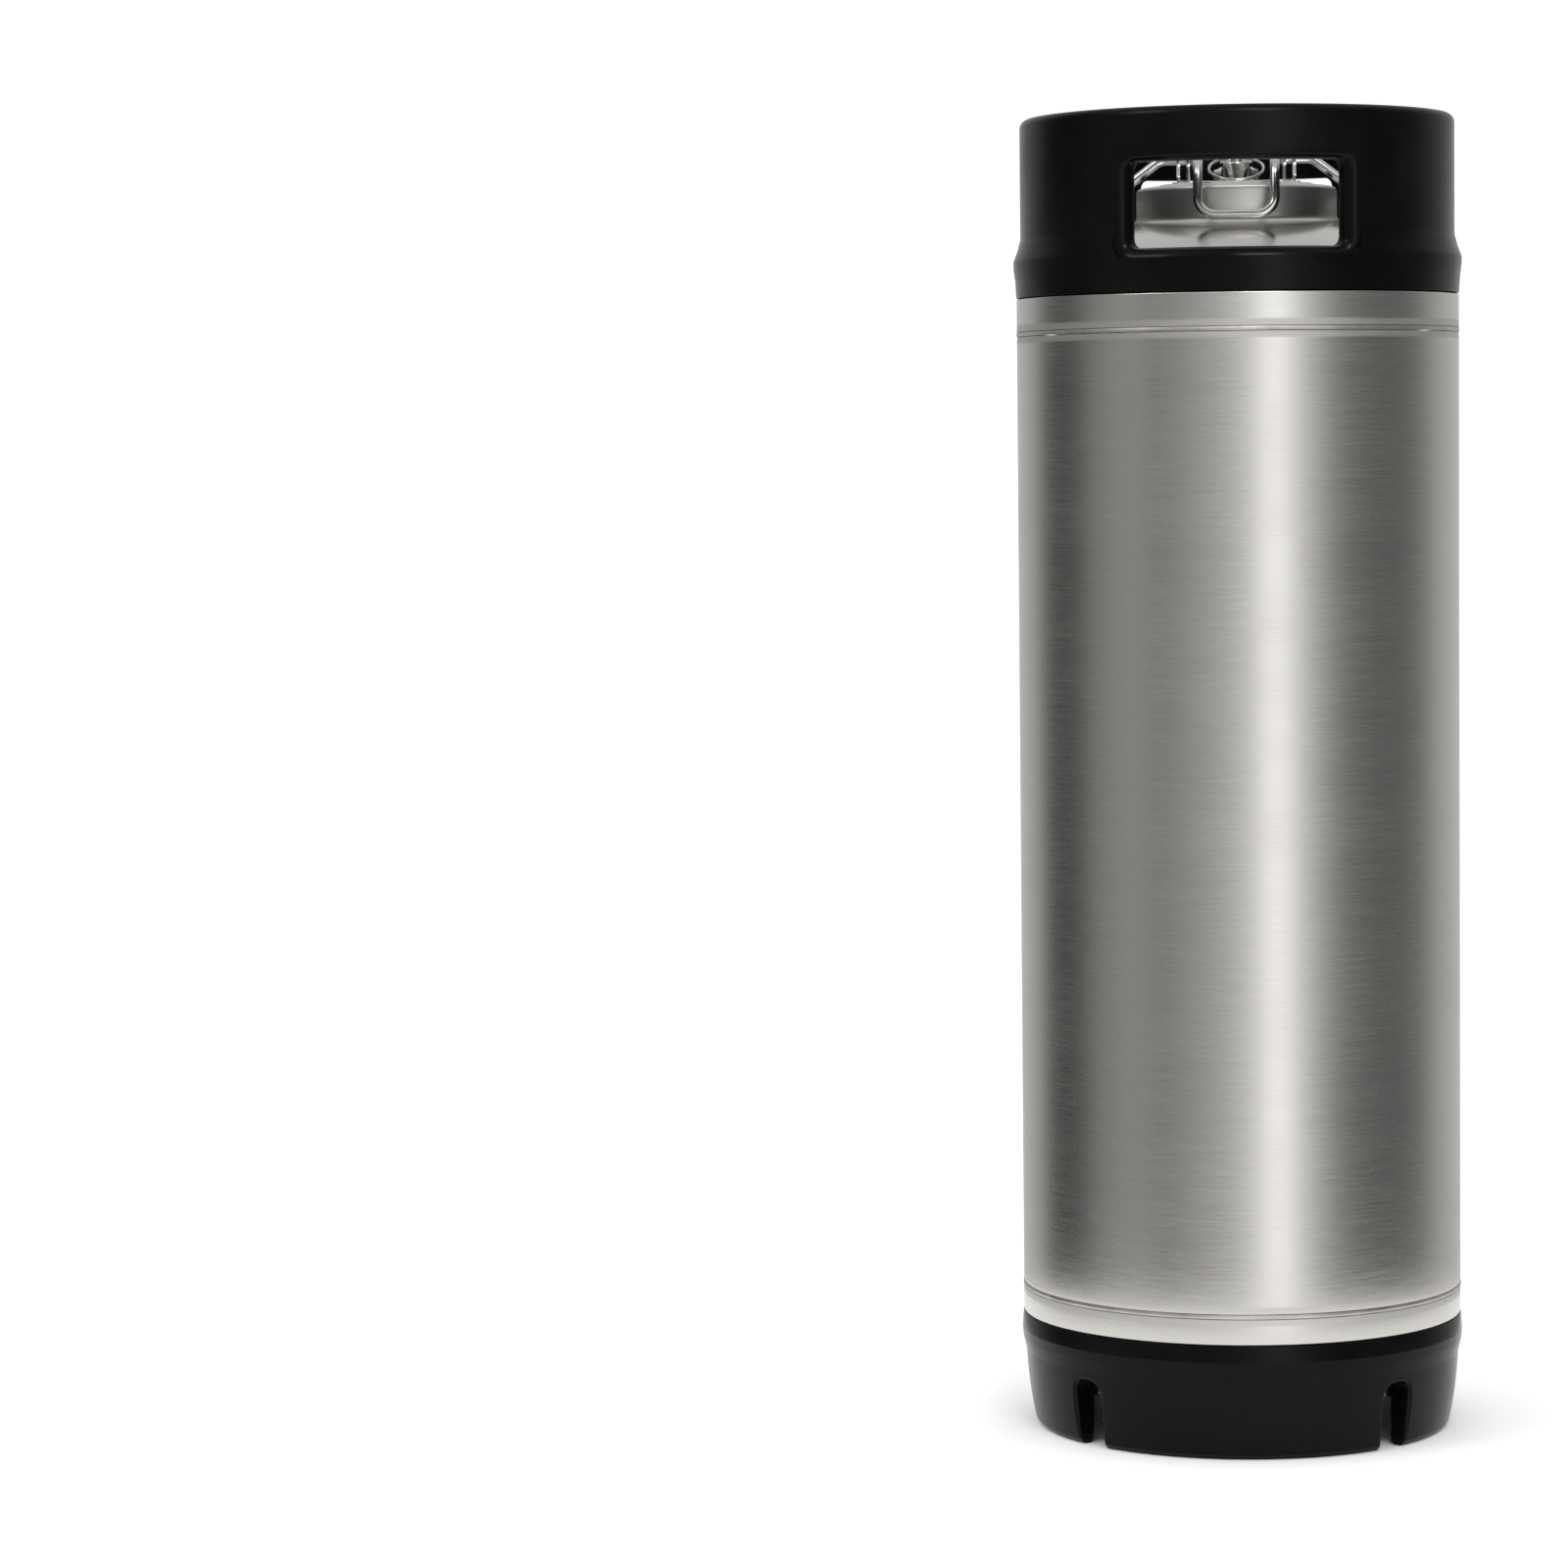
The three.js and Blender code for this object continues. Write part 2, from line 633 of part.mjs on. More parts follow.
// A folded bracket: a long outer wall and a short inner one on one foot, with the bail's pivot
// hole through both.
function ear(side) {
  const base = LID_TOP_Z + GAP;
  const sheet = 1.6;
  const wall = (halfLength) =>
    new THREE.Shape()
      .moveTo(-halfLength, base)
      .lineTo(halfLength, base)
      .lineTo(halfLength, base + 4)
      .lineTo(4.6, PIVOT_Z + 1.5)
      .absarc(0, PIVOT_Z, 4.8, 0.3, Math.PI - 0.3)
      .lineTo(-halfLength, base + 4);
  const folded = join(
    plateAcrossX(wall(12.5), EAR_X + 3.2 - sheet, EAR_X + 3.2),
    plateAcrossX(wall(5.5), EAR_X - 3.2, EAR_X - 3.2 + sheet),
    block([EAR_X - 5.2, -12.5, base], [EAR_X + 5.2, 12.5, base + sheet]),
  );
  const pivotHole = cylinder(WIRE_RADIUS + 0.3, -20, 20, 16).rotateY(Math.PI / 2);
  const whole = cut(folded, pivotHole.translate(EAR_X, 0, PIVOT_Z));
  return side > 0 ? whole : whole.rotateZ(Math.PI);
}

// The bulkhead that the lid's post screws onto, with the hose spigot under it.
function lidBulkhead() {
  const underPlate = -LID_SHEET - GAP;
  return lathe([
    [2.5, HOSE_TOP_Z + GAP - LID_TOP_Z],
    [5.2, HOSE_TOP_Z + GAP - LID_TOP_Z],
    [5.2, -6.4],
    [12.4, -6.4],
    [12.4, underPlate],
    [BOSS_THREAD_RADIUS, underPlate],
    [BOSS_THREAD_RADIUS, SPRING_FOOT - 0.4],
    [2.5, SPRING_FOOT - 0.4],
  ]);
}

function valveBody() {
  const turned = lathe([
    [2.2, VALVE.bottom],
    [VALVE.shank, VALVE.bottom],
    [VALVE.shank, GAP],
    [9, GAP],
    [9, 2.3],
    [7.3, 2.6],
    [7.3, VALVE.top],
    [3.1, VALVE.top],
    [3.1, VALVE.chamberTop],
    [5.3, VALVE.chamberTop],
    [5.3, VALVE.seat],
    [2.2, VALVE.seat],
  ]);
  return cut(turned, block([-10, -2.8, VALVE.slotFloor], [10, 2.8, VALVE.top + 5]));
}

function valveNut() {
  return cut(hexagon(19, -6.4, -LID_SHEET - GAP), cylinder(VALVE.shank + GAP, -8, 0));
}

function valveStem() {
  const stem = lathe([
    [0, VALVE.seat + 2.3],
    [4.9, VALVE.seat + 2.3],
    [4.9, VALVE.seat + 3.8],
    [2.7, VALVE.seat + 3.8],
    [2.7, VALVE.stemTop - 0.6],
    [2.1, VALVE.stemTop],
    [0, VALVE.stemTop],
  ]);
  const hole = cylinder(1.25, -6, 6, 12).rotateY(Math.PI / 2);
  return cut(stem, hole.translate(0, 0, VALVE.hole));
}

// The pull ring hangs from the stem's cross hole and leans forward almost onto the lid.
function pullRing() {
  const droop = THREE.MathUtils.degToRad(PULL_RING.droop);
  return new THREE.TorusGeometry(PULL_RING.radius, PULL_RING.wire, 6, 32)
    .translate(0, -PULL_RING.radius, 0)
    .rotateX(droop)
    .translate(0, 0, VALVE.hole);
}

const UPPER_CLAMP_Z = 589;
const LOWER_CLAMP_Z = HOSE_END_Z + 3;

// A crimped band with a pinched ear.
function hoseClamp(low) {
  const height = 7;
  const inner = HOSE_RADIUS + 0.4;
  const band = ring(inner, inner + 0.8, low, low + height);
  const pinch = block([inner + 0.4, -2, low + 0.5], [inner + 3, 2, low + height - 0.5]);
  return join(band, pinch);
}

function gasHose() {
  const route = new THREE.CatmullRomCurve3(HOSE_ROUTE.map((at) => new THREE.Vector3(...at)));
  return rodAlong(route, HOSE_RADIUS, 24, 10);
}

const STONE = { radius: 6.35, top: HOSE_END_Z - 6.5, length: 30 };

function stoneBarb() {
  const top = HOSE_END_Z - GAP;
  return lathe([
    [1.6, STONE.top + GAP],
    [STONE.radius, STONE.top + GAP],
    [STONE.radius, STONE.top + 3],
    [5.2, STONE.top + 3.6],
    [5.2, top],
    [1.6, top],
  ]);
}

function diffusionStone() {
  const { radius, top, length } = STONE;
  const bottom = top - length;
  return lathe([[0, bottom], [radius - 1, bottom], [radius, bottom + 1], [radius, top], [0, top]]);
}

const lid = groupAt(
  [0, 0, 0],
  node("lid_plate", POLISHED_STEEL, lidPlate()),
  node("lid_seal", SEAL_RUBBER, lidSeal()),
  node("right_ear", POLISHED_STEEL, ear(1)),
  node("left_ear", POLISHED_STEEL, ear(-1)),
  groupAt(
    [0, LID_POST_Y, LID_TOP_Z],
    node("lid_bulkhead", TURNED_STEEL, lidBulkhead()),
    groupAt([0, 0, GAP], ...postSet("lid")),
  ),
  groupAt(
    [0, RELIEF_VALVE_Y, LID_TOP_Z],
    node("relief_valve_body", TURNED_STEEL, valveBody()),
    node("relief_valve_nut", TURNED_STEEL, valveNut()),
    node(
      "relief_valve_spring",
      TURNED_STEEL,
      coilSpring(3.9, 0.45, VALVE.seat + 4.1, VALVE.chamberTop - GAP, 4),
    ),
    node("relief_valve_seal", SEAL_RUBBER, cylinder(4.6, VALVE.seat + GAP, VALVE.seat + 2)),
    node("relief_valve_stem", TURNED_STEEL, valveStem()),
    node("relief_valve_ring", POLISHED_STEEL, pullRing()),
  ),
  node("gas_hose", CLEAR_VINYL, gasHose()),
  groupAt([0, LID_POST_Y, 0], node("upper_hose_clamp", TURNED_STEEL, hoseClamp(UPPER_CLAMP_Z))),
  groupAt([0, LID_POST_Y, 0], node("lower_hose_clamp", TURNED_STEEL, hoseClamp(LOWER_CLAMP_Z))),
  groupAt([0, LID_POST_Y, 0], node("stone_barb", TURNED_STEEL, stoneBarb())),
  groupAt([0, LID_POST_Y, 0], node("diffusion_stone", SINTERED_STEEL, diffusionStone())),
);

// ---- Bail -----------------------------------------------------------------------------------

// One bent wire from foot to foot: up each arm, through the ears, forward over the lid, and down
// in a narrow loop in front of the collar.
function bailWire() {
  const half = [
    { at: [FOOT_X, 0, 595] },
    { at: [FOOT_X, 0, 608.4], reach: 4 },
    { at: [37, 0, PIVOT_Z], reach: 3 },
    { at: [HANDLE_HALF_WIDTH, 0, PIVOT_Z], reach: 4.6 },
    { at: [HANDLE_HALF_WIDTH, -57, 620.5], reach: 8 },
    { at: [HANDLE_HALF_WIDTH, -64.5, 594], reach: 9 },
  ];
  const otherHalf = half.map(({ at: [x, y, z], reach }) => ({ at: [-x, y, z], reach })).reverse();
  return rodAlong(bentPath([...half, ...otherHalf]), WIRE_RADIUS, 72, 8);
}

// The sleeve on a foot, standing just clear of the head.
function footBoot() {
  const low = crownHeight(FOOT_X - 3) + GAP;
  return lathe([
    [0, low],
    [3, low],
    [4.8, low + 1.6],
    [4.8, 603.5],
    [4.2, 604],
    [WIRE_RADIUS + GAP, 604],
    [WIRE_RADIUS + GAP, 594.4],
    [0, 594.4],
  ]);
}

const bail = groupAt(
  [0, 0, 0],
  node("bail_wire", POLISHED_STEEL, bailWire()),
  groupAt([FOOT_X, 0, 0], node("right_foot_boot", GREY_RUBBER, footBoot())),
  groupAt([-FOOT_X, 0, 0], node("left_foot_boot", GREY_RUBBER, footBoot())),
);

const keg = new THREE.Group();
keg.add(vessel, gasFitting, liquidFitting, lid, bail);

export default keg;
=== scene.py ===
"""The looks of a five-gallon ball-lock keg: a brushed stainless vessel between a moulded rubber
handle ring and base boot, two posts, and an oval lid held by a wire bail.

Every size is in metres in the keg's own frame: +Z up from the floor, -Y towards the front hand
hole, +X towards the liquid post.
"""

import json
import logging
import math
from dataclasses import dataclass, field
from enum import Enum
from typing import Iterable, Sequence

import bmesh
import bpy
from mathutils import Matrix, Vector

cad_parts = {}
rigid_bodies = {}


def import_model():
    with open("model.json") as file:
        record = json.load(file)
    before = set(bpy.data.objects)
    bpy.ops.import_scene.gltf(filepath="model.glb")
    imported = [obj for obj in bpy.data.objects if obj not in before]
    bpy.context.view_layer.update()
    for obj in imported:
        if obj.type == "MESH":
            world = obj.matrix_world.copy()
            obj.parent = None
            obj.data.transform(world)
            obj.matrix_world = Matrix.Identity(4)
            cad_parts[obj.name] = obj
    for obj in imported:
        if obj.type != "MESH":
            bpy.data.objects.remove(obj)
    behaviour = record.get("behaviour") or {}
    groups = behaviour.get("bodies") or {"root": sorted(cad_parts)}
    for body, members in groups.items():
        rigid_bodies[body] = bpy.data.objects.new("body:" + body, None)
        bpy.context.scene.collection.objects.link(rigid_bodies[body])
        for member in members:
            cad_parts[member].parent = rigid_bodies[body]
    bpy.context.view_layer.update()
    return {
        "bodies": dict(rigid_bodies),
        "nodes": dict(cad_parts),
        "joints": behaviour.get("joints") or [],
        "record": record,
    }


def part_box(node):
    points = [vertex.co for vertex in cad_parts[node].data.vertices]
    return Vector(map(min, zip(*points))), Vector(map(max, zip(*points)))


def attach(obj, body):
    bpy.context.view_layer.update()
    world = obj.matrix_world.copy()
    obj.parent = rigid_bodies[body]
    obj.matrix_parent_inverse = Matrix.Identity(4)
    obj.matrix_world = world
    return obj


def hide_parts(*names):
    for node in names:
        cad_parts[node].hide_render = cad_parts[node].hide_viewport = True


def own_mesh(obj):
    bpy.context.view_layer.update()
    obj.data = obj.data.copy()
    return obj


Mesh = bmesh.types.BMesh
Vert = bmesh.types.BMVert
Edge = bmesh.types.BMEdge
Piece = bpy.types.Object
Paint = bpy.types.Material
Socket = bpy.types.NodeSocket

log = logging.getLogger("keg")
MM = 0.001
FULL_TURN = 2 * math.pi
RING_FOOT = 0.5555
COLLAR_FOOT = 0.5915
WELD_HEIGHTS = (0.0702, 0.5391)


class Body(Enum):
    """The rigid bodies that pieces ride on."""

    KEG = "keg"
    LID = "lid"
    BAIL = "bail"
    GAS_VALVE = "gas_valve"
    LIQUID_VALVE = "liquid_valve"
    LID_VALVE = "lid_valve"
    PLUNGER = "relief_plunger"
    PULL_RING = "pull_ring"


class Slot(Enum):
    """The record's material slots."""

    BRUSHED = "brushed_steel"
    POLISHED = "polished_steel"
    TURNED = "turned_steel"
    WELD = "weld_steel"
    SPRING = "spring_steel"
    BLACK_RUBBER = "black_rubber"
    SEAL = "seal_rubber"
    GREY_RUBBER = "grey_rubber"
    VINYL = "clear_vinyl"
    SINTERED = "sintered_steel"


# ---- Finishes -------------------------------------------------------------------------------


class Nodes:
    """A short way to lay out a material's nodes."""

    def __init__(self, name: str) -> None:
        """Start a material with only its output and its shader.

        Args:
            name: the material's name.
        """
        self.material = bpy.data.materials.new(name)
        self.material.use_nodes = True
        self.tree = self.material.node_tree
        self.tree.nodes.clear()
        self.shader = self.tree.nodes.new("ShaderNodeBsdfPrincipled")
        output = self.tree.nodes.new("ShaderNodeOutputMaterial")
        self.tree.links.new(self.shader.outputs[0], output.inputs[0])

    def add(self, kind: str, **inputs: object) -> bpy.types.Node:
        """Add a node and set or link its inputs by name.

        Args:
            kind: the node's type without its ShaderNode prefix.
            inputs: input name, with underscores for spaces, to a value or an output socket.

        Returns:
            The new node.
        """
        node = self.tree.nodes.new("ShaderNode" + kind)
        for name, value in inputs.items():
            self.set(node.inputs[name.replace("_", " ")], value)
        return node

    def set(self, socket: Socket, value: object) -> None:
        """Link a socket to another, or give it a value."""
        if isinstance(value, Socket):
            self.tree.links.new(value, socket)
        else:
            socket.default_value = value

    def place(self, scale: Sequence[float] = (1, 1, 1), centre: Sequence[float] = (0, 0, 0)) -> Socket:
        """Object coordinates measured from a centre and stretched.

        Args:
            scale: the stretch along each axis.
            centre: the point that becomes the origin.

        Returns:
            The vector output.
        """
        coordinates = self.add("TexCoord")
        moved = self.add("VectorMath")
        moved.operation = "SUBTRACT"
        self.set(moved.inputs[0], coordinates.outputs["Object"])
        moved.inputs[1].default_value = centre
        return self.add("Mapping", Vector=moved.outputs[0], Scale=scale).outputs[0]

    def noise(self, vector: Socket, scale: float, detail: float = 3.0, rough: float = 0.5) -> Socket:
        """A noise pattern.

        Args:
            vector: where it is read.
            scale: how fine it is.
            detail: its number of octaves.
            rough: how strong the finer octaves are.

        Returns:
            Its factor output.
        """
        return self.add("TexNoise", Vector=vector, Scale=scale, Detail=detail, Roughness=rough).outputs[0]

    def spread(self, value: Socket, low: float, high: float, start: float = 0.3, end: float = 0.7) -> Socket:
        """Carry a factor from start..end onto low..high.

        Args:
            value: the factor.
            low: the result at start.
            high: the result at end.
            start: the factor's lower mark.
            end: the factor's upper mark.

        Returns:
            The carried value.
        """
        node = self.add("MapRange", Value=value)
        for name, number in (("From Min", start), ("From Max", end), ("To Min", low), ("To Max", high)):
            node.inputs[name].default_value = number
        return node.outputs[0]

    def sum(self, first: Socket, second: Socket) -> Socket:
        """Add two values."""
        node = self.add("Math")
        self.set(node.inputs[0], first)
        self.set(node.inputs[1], second)
        return node.outputs[0]

    def mix(
        self, factor: Socket, first: Socket, second: Socket
    ) -> Socket:
        """Go from one value to another by a factor."""
        return self.add("Mix", Factor=factor, A=first, B=second).outputs[0]

    def blend(self, factor: Socket, first: Sequence[float], second: Sequence[float]) -> Socket:
        """Mix two colours by a factor.

        Args:
            factor: 0 for the first colour and 1 for the second.
            first: a linear RGB colour.
            second: a linear RGB colour.

        Returns:
            The colour output.
        """
        node = self.add("Mix")
        node.data_type = "RGBA"
        self.set(node.inputs[0], factor)
        node.inputs[6].default_value = (*first, 1)
        node.inputs[7].default_value = (*second, 1)
        return node.outputs[2]

    def bump(
        self, height: Socket, depth: float, strength: object = 1.0, under: Socket | None = None
    ) -> Socket:
        """A bump that is depth metres high where height is 1.

        Args:
            height: the pattern.
            depth: its height in metres.
            strength: how much of it shows.
            under: a bump that this one is laid over.

        Returns:
            The normal output.
        """
        node = self.add("Bump", Height=height, Distance=depth, Strength=strength)
        if under is not None:
            self.set(node.inputs["Normal"], under)
        return node.outputs[0]

    def finish(self, **inputs: object) -> Paint:
        """Set the shader's inputs.

        Args:
            inputs: input name, with underscores for spaces, to a value or an output socket.

        Returns:
            The finished material.
        """
        for name, value in inputs.items():
            self.set(self.shader.inputs[name.replace("_", " ")], value)
        return self.material


@dataclass(frozen=True)
class BrushedSteel:
    """Stainless steel with fine lines brushed round the keg's axis."""

    name: str
    tint: tuple[float, float, float] = (0.62, 0.605, 0.575)
    rough: float = 0.24
    line_pitch: float = 0.30 * MM
    polished_above: float = 10.0
    satin_above: float = 10.0
    seams: tuple[float, ...] = WELD_HEIGHTS
    seam_reach: float = 4.4 * MM

    def material(self) -> Paint:
        """Make the material: polished above one height, satin above another, dull beside the welds."""
        n = Nodes(self.name)
        height = n.add("SeparateXYZ", Vector=n.place()).outputs[2]
        polished = n.spread(height, 0, 1, self.polished_above, self.polished_above + 1.5 * MM)
        lines = n.noise(n.place((0.012, 0.012, 1.0)), 1 / self.line_pitch, 4, 0.65)
        bands = n.noise(n.place((0.3, 0.3, 5.0)), 8, 3, 0.55)
        darker = tuple(0.90 * channel for channel in self.tint)
        colour = n.blend(n.spread(lines, 0, 1), darker, self.tint)
        brushed = n.sum(n.spread(lines, self.rough - 0.05, self.rough + 0.06), n.spread(bands, -0.02, 0.02))
        rough = n.mix(polished, brushed, n.spread(bands, 0.16, 0.23))
        satin = n.spread(height, 0, 1, self.satin_above, self.satin_above + 2.0 * MM)
        rough = n.mix(satin, rough, n.spread(lines, 0.36, 0.46))
        for seam in self.seams:
            beside = n.add("Math", Value=n.sum(height, -seam))
            beside.operation = "ABSOLUTE"
            dull = n.spread(beside.outputs[0], 1, 0, self.seam_reach - 0.5 * MM, self.seam_reach + 0.5 * MM)
            rough = n.sum(rough, n.spread(dull, 0, 0.2, 0, 1))
        depth = n.spread(polished, 0.35, 0.03, 0, 1)
        tangent = n.add("Tangent")
        tangent.direction_type = "RADIAL"
        tangent.axis = "Z"
        return n.finish(
            Base_Color=colour, Metallic=1.0, Roughness=rough, Normal=n.bump(lines, 0.006 * MM, depth),
            Anisotropic=0.5, Tangent=tangent.outputs[0],
        )


@dataclass(frozen=True)
class PolishedSteel:
    """Pressed stainless steel with a soft polish and faint handling marks."""

    name: str
    tint: tuple[float, float, float] = (0.66, 0.655, 0.64)
    rough: float = 0.11

    def material(self) -> Paint:
        """Make the material."""
        n = Nodes(self.name)
        mottle = n.noise(n.place(), 180, 4, 0.6)
        scratches = n.noise(n.place((1, 0.06, 1)), 900, 2)
        colour = n.blend(n.spread(mottle, 0, 1), tuple(0.88 * c for c in self.tint), self.tint)
        rough = n.spread(mottle, self.rough - 0.03, self.rough + 0.06)
        relief = n.bump(scratches, 0.002 * MM, 0.4, n.bump(mottle, 0.02 * MM, 0.25))
        return n.finish(Base_Color=colour, Metallic=1.0, Roughness=rough, Normal=relief)


@dataclass(frozen=True)
class TurnedSteel:
    """Bright steel with the fine rings that a lathe leaves round a fitting's own axis."""

    name: str
    centre: tuple[float, float, float] = (0.0, 0.0, 0.0)
    tint: tuple[float, float, float] = (0.63, 0.62, 0.60)
    rough: float = 0.2
    ring_pitch: float = 0.22 * MM

    def material(self) -> Paint:
        """Make the material."""
        n = Nodes(self.name)
        place = n.place(centre=self.centre)
        parts = n.add("SeparateXYZ", Vector=place)
        flat = n.add("CombineXYZ", X=parts.outputs[0], Y=parts.outputs[1])
        radius = n.add("VectorMath")
        radius.operation = "LENGTH"
        n.set(radius.inputs[0], flat.outputs[0])
        rings = n.add("CombineXYZ", X=radius.outputs["Value"], Z=parts.outputs[2])
        lines = n.noise(rings.outputs[0], 1 / self.ring_pitch, 2, 0.6)
        stain = n.noise(place, 260, 3)
        colour = n.blend(n.spread(stain, 0, 1), tuple(0.85 * c for c in self.tint), self.tint)
        rough = n.spread(lines, self.rough - 0.05, self.rough + 0.08)
        relief = n.bump(lines, 0.012 * MM, 0.5)
        return n.finish(Base_Color=colour, Metallic=1.0, Roughness=rough, Normal=relief)


@dataclass(frozen=True)
class WeldMetal:
    """A dressed girth weld: dull ripples with a straw tint from the heat."""

    name: str

    def material(self) -> Paint:
        """Make the material."""
        n = Nodes(self.name)
        ripple = n.noise(n.place((1, 1, 0.3)), 420, 3, 0.6)
        heat = n.noise(n.place(), 60, 2)
        colour = n.blend(n.spread(heat, 0, 1), (0.43, 0.415, 0.385), (0.58, 0.565, 0.53))
        rough = n.spread(ripple, 0.38, 0.56)
        relief = n.bump(ripple, 0.08 * MM, 0.7)
        return n.finish(Base_Color=colour, Metallic=1.0, Roughness=rough, Normal=relief)


@dataclass(frozen=True)
class MouldedRubber:
    """Rubber as it leaves a mould: a satin skin with a very fine grain and faint dulling."""

    name: str
    tint: tuple[float, float, float] = (0.0020, 0.0020, 0.0023)
    rough: float = 0.2
    grain: float = 0.015 * MM
    shine: float = 0.1

    def material(self) -> Paint:
        """Make the material."""
        n = Nodes(self.name)
        grain = n.noise(n.place(), 1600, 2, 0.5)
        wear = n.noise(n.place(), 24, 4, 0.6)
        lighter = tuple(1.4 * channel + 0.0008 for channel in self.tint)
        colour = n.blend(n.spread(wear, 0, 1, 0.35, 0.75), self.tint, lighter)
        rough = n.spread(wear, self.rough - 0.05, self.rough + 0.08)
        relief = n.bump(grain, self.grain, 0.5, n.bump(wear, 0.25 * MM, 0.18))
        return n.finish(
            Base_Color=colour, Roughness=rough, Normal=relief, Specular_IOR_Level=self.shine,
        )


@dataclass(frozen=True)
class ClearVinyl:
    """Milky clear hose."""

    name: str

    def material(self) -> Paint:
        """Make the material."""
        n = Nodes(self.name)
        haze = n.noise(n.place(), 90, 3)
        colour = n.blend(n.spread(haze, 0, 1), (0.70, 0.74, 0.72), (0.82, 0.85, 0.83))
        rough = n.spread(haze, 0.16, 0.28)
        return n.finish(
            Base_Color=colour, Roughness=rough, Transmission_Weight=0.55, IOR=1.5,
            Normal=n.bump(haze, 0.05 * MM, 0.2),
        )


@dataclass(frozen=True)
class SinteredSteel:
    """Porous grey metal pressed from powder."""

    name: str

    def material(self) -> Paint:
        """Make the material."""
        n = Nodes(self.name)
        grit = n.noise(n.place(), 2200, 4, 0.7)
        pores = n.add("TexVoronoi", Vector=n.place(), Scale=1500.0).outputs["Distance"]
        colour = n.blend(n.spread(grit, 0, 1), (0.16, 0.155, 0.15), (0.36, 0.35, 0.33))
        relief = n.bump(pores, 0.15 * MM, 0.8, n.bump(grit, 0.05 * MM, 0.6))
        return n.finish(Base_Color=colour, Metallic=0.85, Roughness=n.spread(grit, 0.6, 0.85), Normal=relief)


@dataclass(frozen=True)
class StudioPaper:
    """The pale matt floor."""

    name: str

    def material(self) -> Paint:
        """Make the material."""
        n = Nodes(self.name)
        tone = n.noise(n.place(), 3, 2)
        colour = n.blend(n.spread(tone, 0, 1), (0.93, 0.93, 0.93), (0.95, 0.95, 0.95))
        return n.finish(Base_Color=colour, Roughness=0.9, Specular_IOR_Level=0.0)


BODY_STEEL = BrushedSteel("brushed_body_steel")
HEAD_STEEL = BrushedSteel(
    "drawn_head_steel", tint=(0.64, 0.63, 0.60), polished_above=RING_FOOT, satin_above=COLLAR_FOOT
)
LID_STEEL = PolishedSteel("polished_lid_steel", rough=0.19)
WIRE_STEEL = PolishedSteel("polished_wire_steel", tint=(0.68, 0.675, 0.66), rough=0.17)
PLAIN_STEEL = TurnedSteel("plain_turned_steel", rough=0.26)
WELD = WeldMetal("girth_weld")
BLACK_RUBBER = MouldedRubber("black_moulded_rubber")
SEAL_RUBBER = MouldedRubber("black_seal_rubber", rough=0.36, grain=0.01 * MM, shine=0.3)
GREY_RUBBER = MouldedRubber("grey_foot_rubber", tint=(0.36, 0.36, 0.35), rough=0.5, shine=0.35)
VINYL = ClearVinyl("milky_clear_vinyl")
SINTERED = SinteredSteel("sintered_stone")
PAPER = StudioPaper("pale_floor_paper")


class PaintShop:
    """Makes each finish once and hands it out again."""

    def __init__(self) -> None:
        """Start with nothing mixed."""
        self.made: dict[str, Paint] = {}

    def get(self, finish: object) -> Paint:
        """Return a finish's material, making it the first time.

        Args:
            finish: one of the finish dataclasses.

        Returns:
            The material.
        """
        if finish.name not in self.made:
            self.made[finish.name] = finish.material()
        return self.made[finish.name]


PAINTS = PaintShop()


# ---- Workshop: outlines, turning, bending and cutting ---------------------------------------


@dataclass(frozen=True)
class Corner:
    """A corner of an outline in the plane of a turned piece, in metres."""

    r: float
    z: float
    round: float = 0.0


def mm_corners(*corners: Sequence[float]) -> list[Corner]:
    """Corners from (radius, height[, rounding]) in millimetres."""
    return [Corner(*(number * MM for number in corner)) for corner in corners]


def rounded_outline(corners: Sequence[Corner], closed: bool, steps: int = 5) -> list[Vector]:
    """Round an outline's corners.

    Args:
        corners: the outline's corners in order.
        closed: whether the last corner joins the first.
        steps: the number of edges in each rounding.

    Returns:
        Points in the XZ plane.
    """
    points: list[Vector] = []
    count = len(corners)
    for i, corner in enumerate(corners):
        here = Vector((corner.r, 0, corner.z))
        ends = not closed and i in (0, count - 1)
        if ends or corner.round <= 0:
            points.append(here)
            continue
        before, after = corners[i - 1], corners[(i + 1) % count]
        back = Vector((before.r, 0, before.z)) - here
        ahead = Vector((after.r, 0, after.z)) - here
        half = back.angle(ahead) / 2
        reach = min(corner.round / math.tan(half), 0.48 * back.length, 0.48 * ahead.length)
        radius = reach * math.tan(half)
        middle = here + (back.normalized() + ahead.normalized()).normalized() * radius / math.sin(half)
        first = here + back.normalized() * reach - middle
        last = here + ahead.normalized() * reach - middle
        points += [middle + first.slerp(last, k / steps) * radius for k in range(steps + 1)]
    return points


def arc_points(
    centre_r: float, centre_z: float, radius: float, start: float, end: float, steps: int
) -> list[Corner]:
    """Corners along an arc, angles in degrees from the outward direction."""
    angles = [math.radians(start + (end - start) * k / steps) for k in range(steps + 1)]
    return [Corner(centre_r + radius * math.cos(a), centre_z + radius * math.sin(a)) for a in angles]


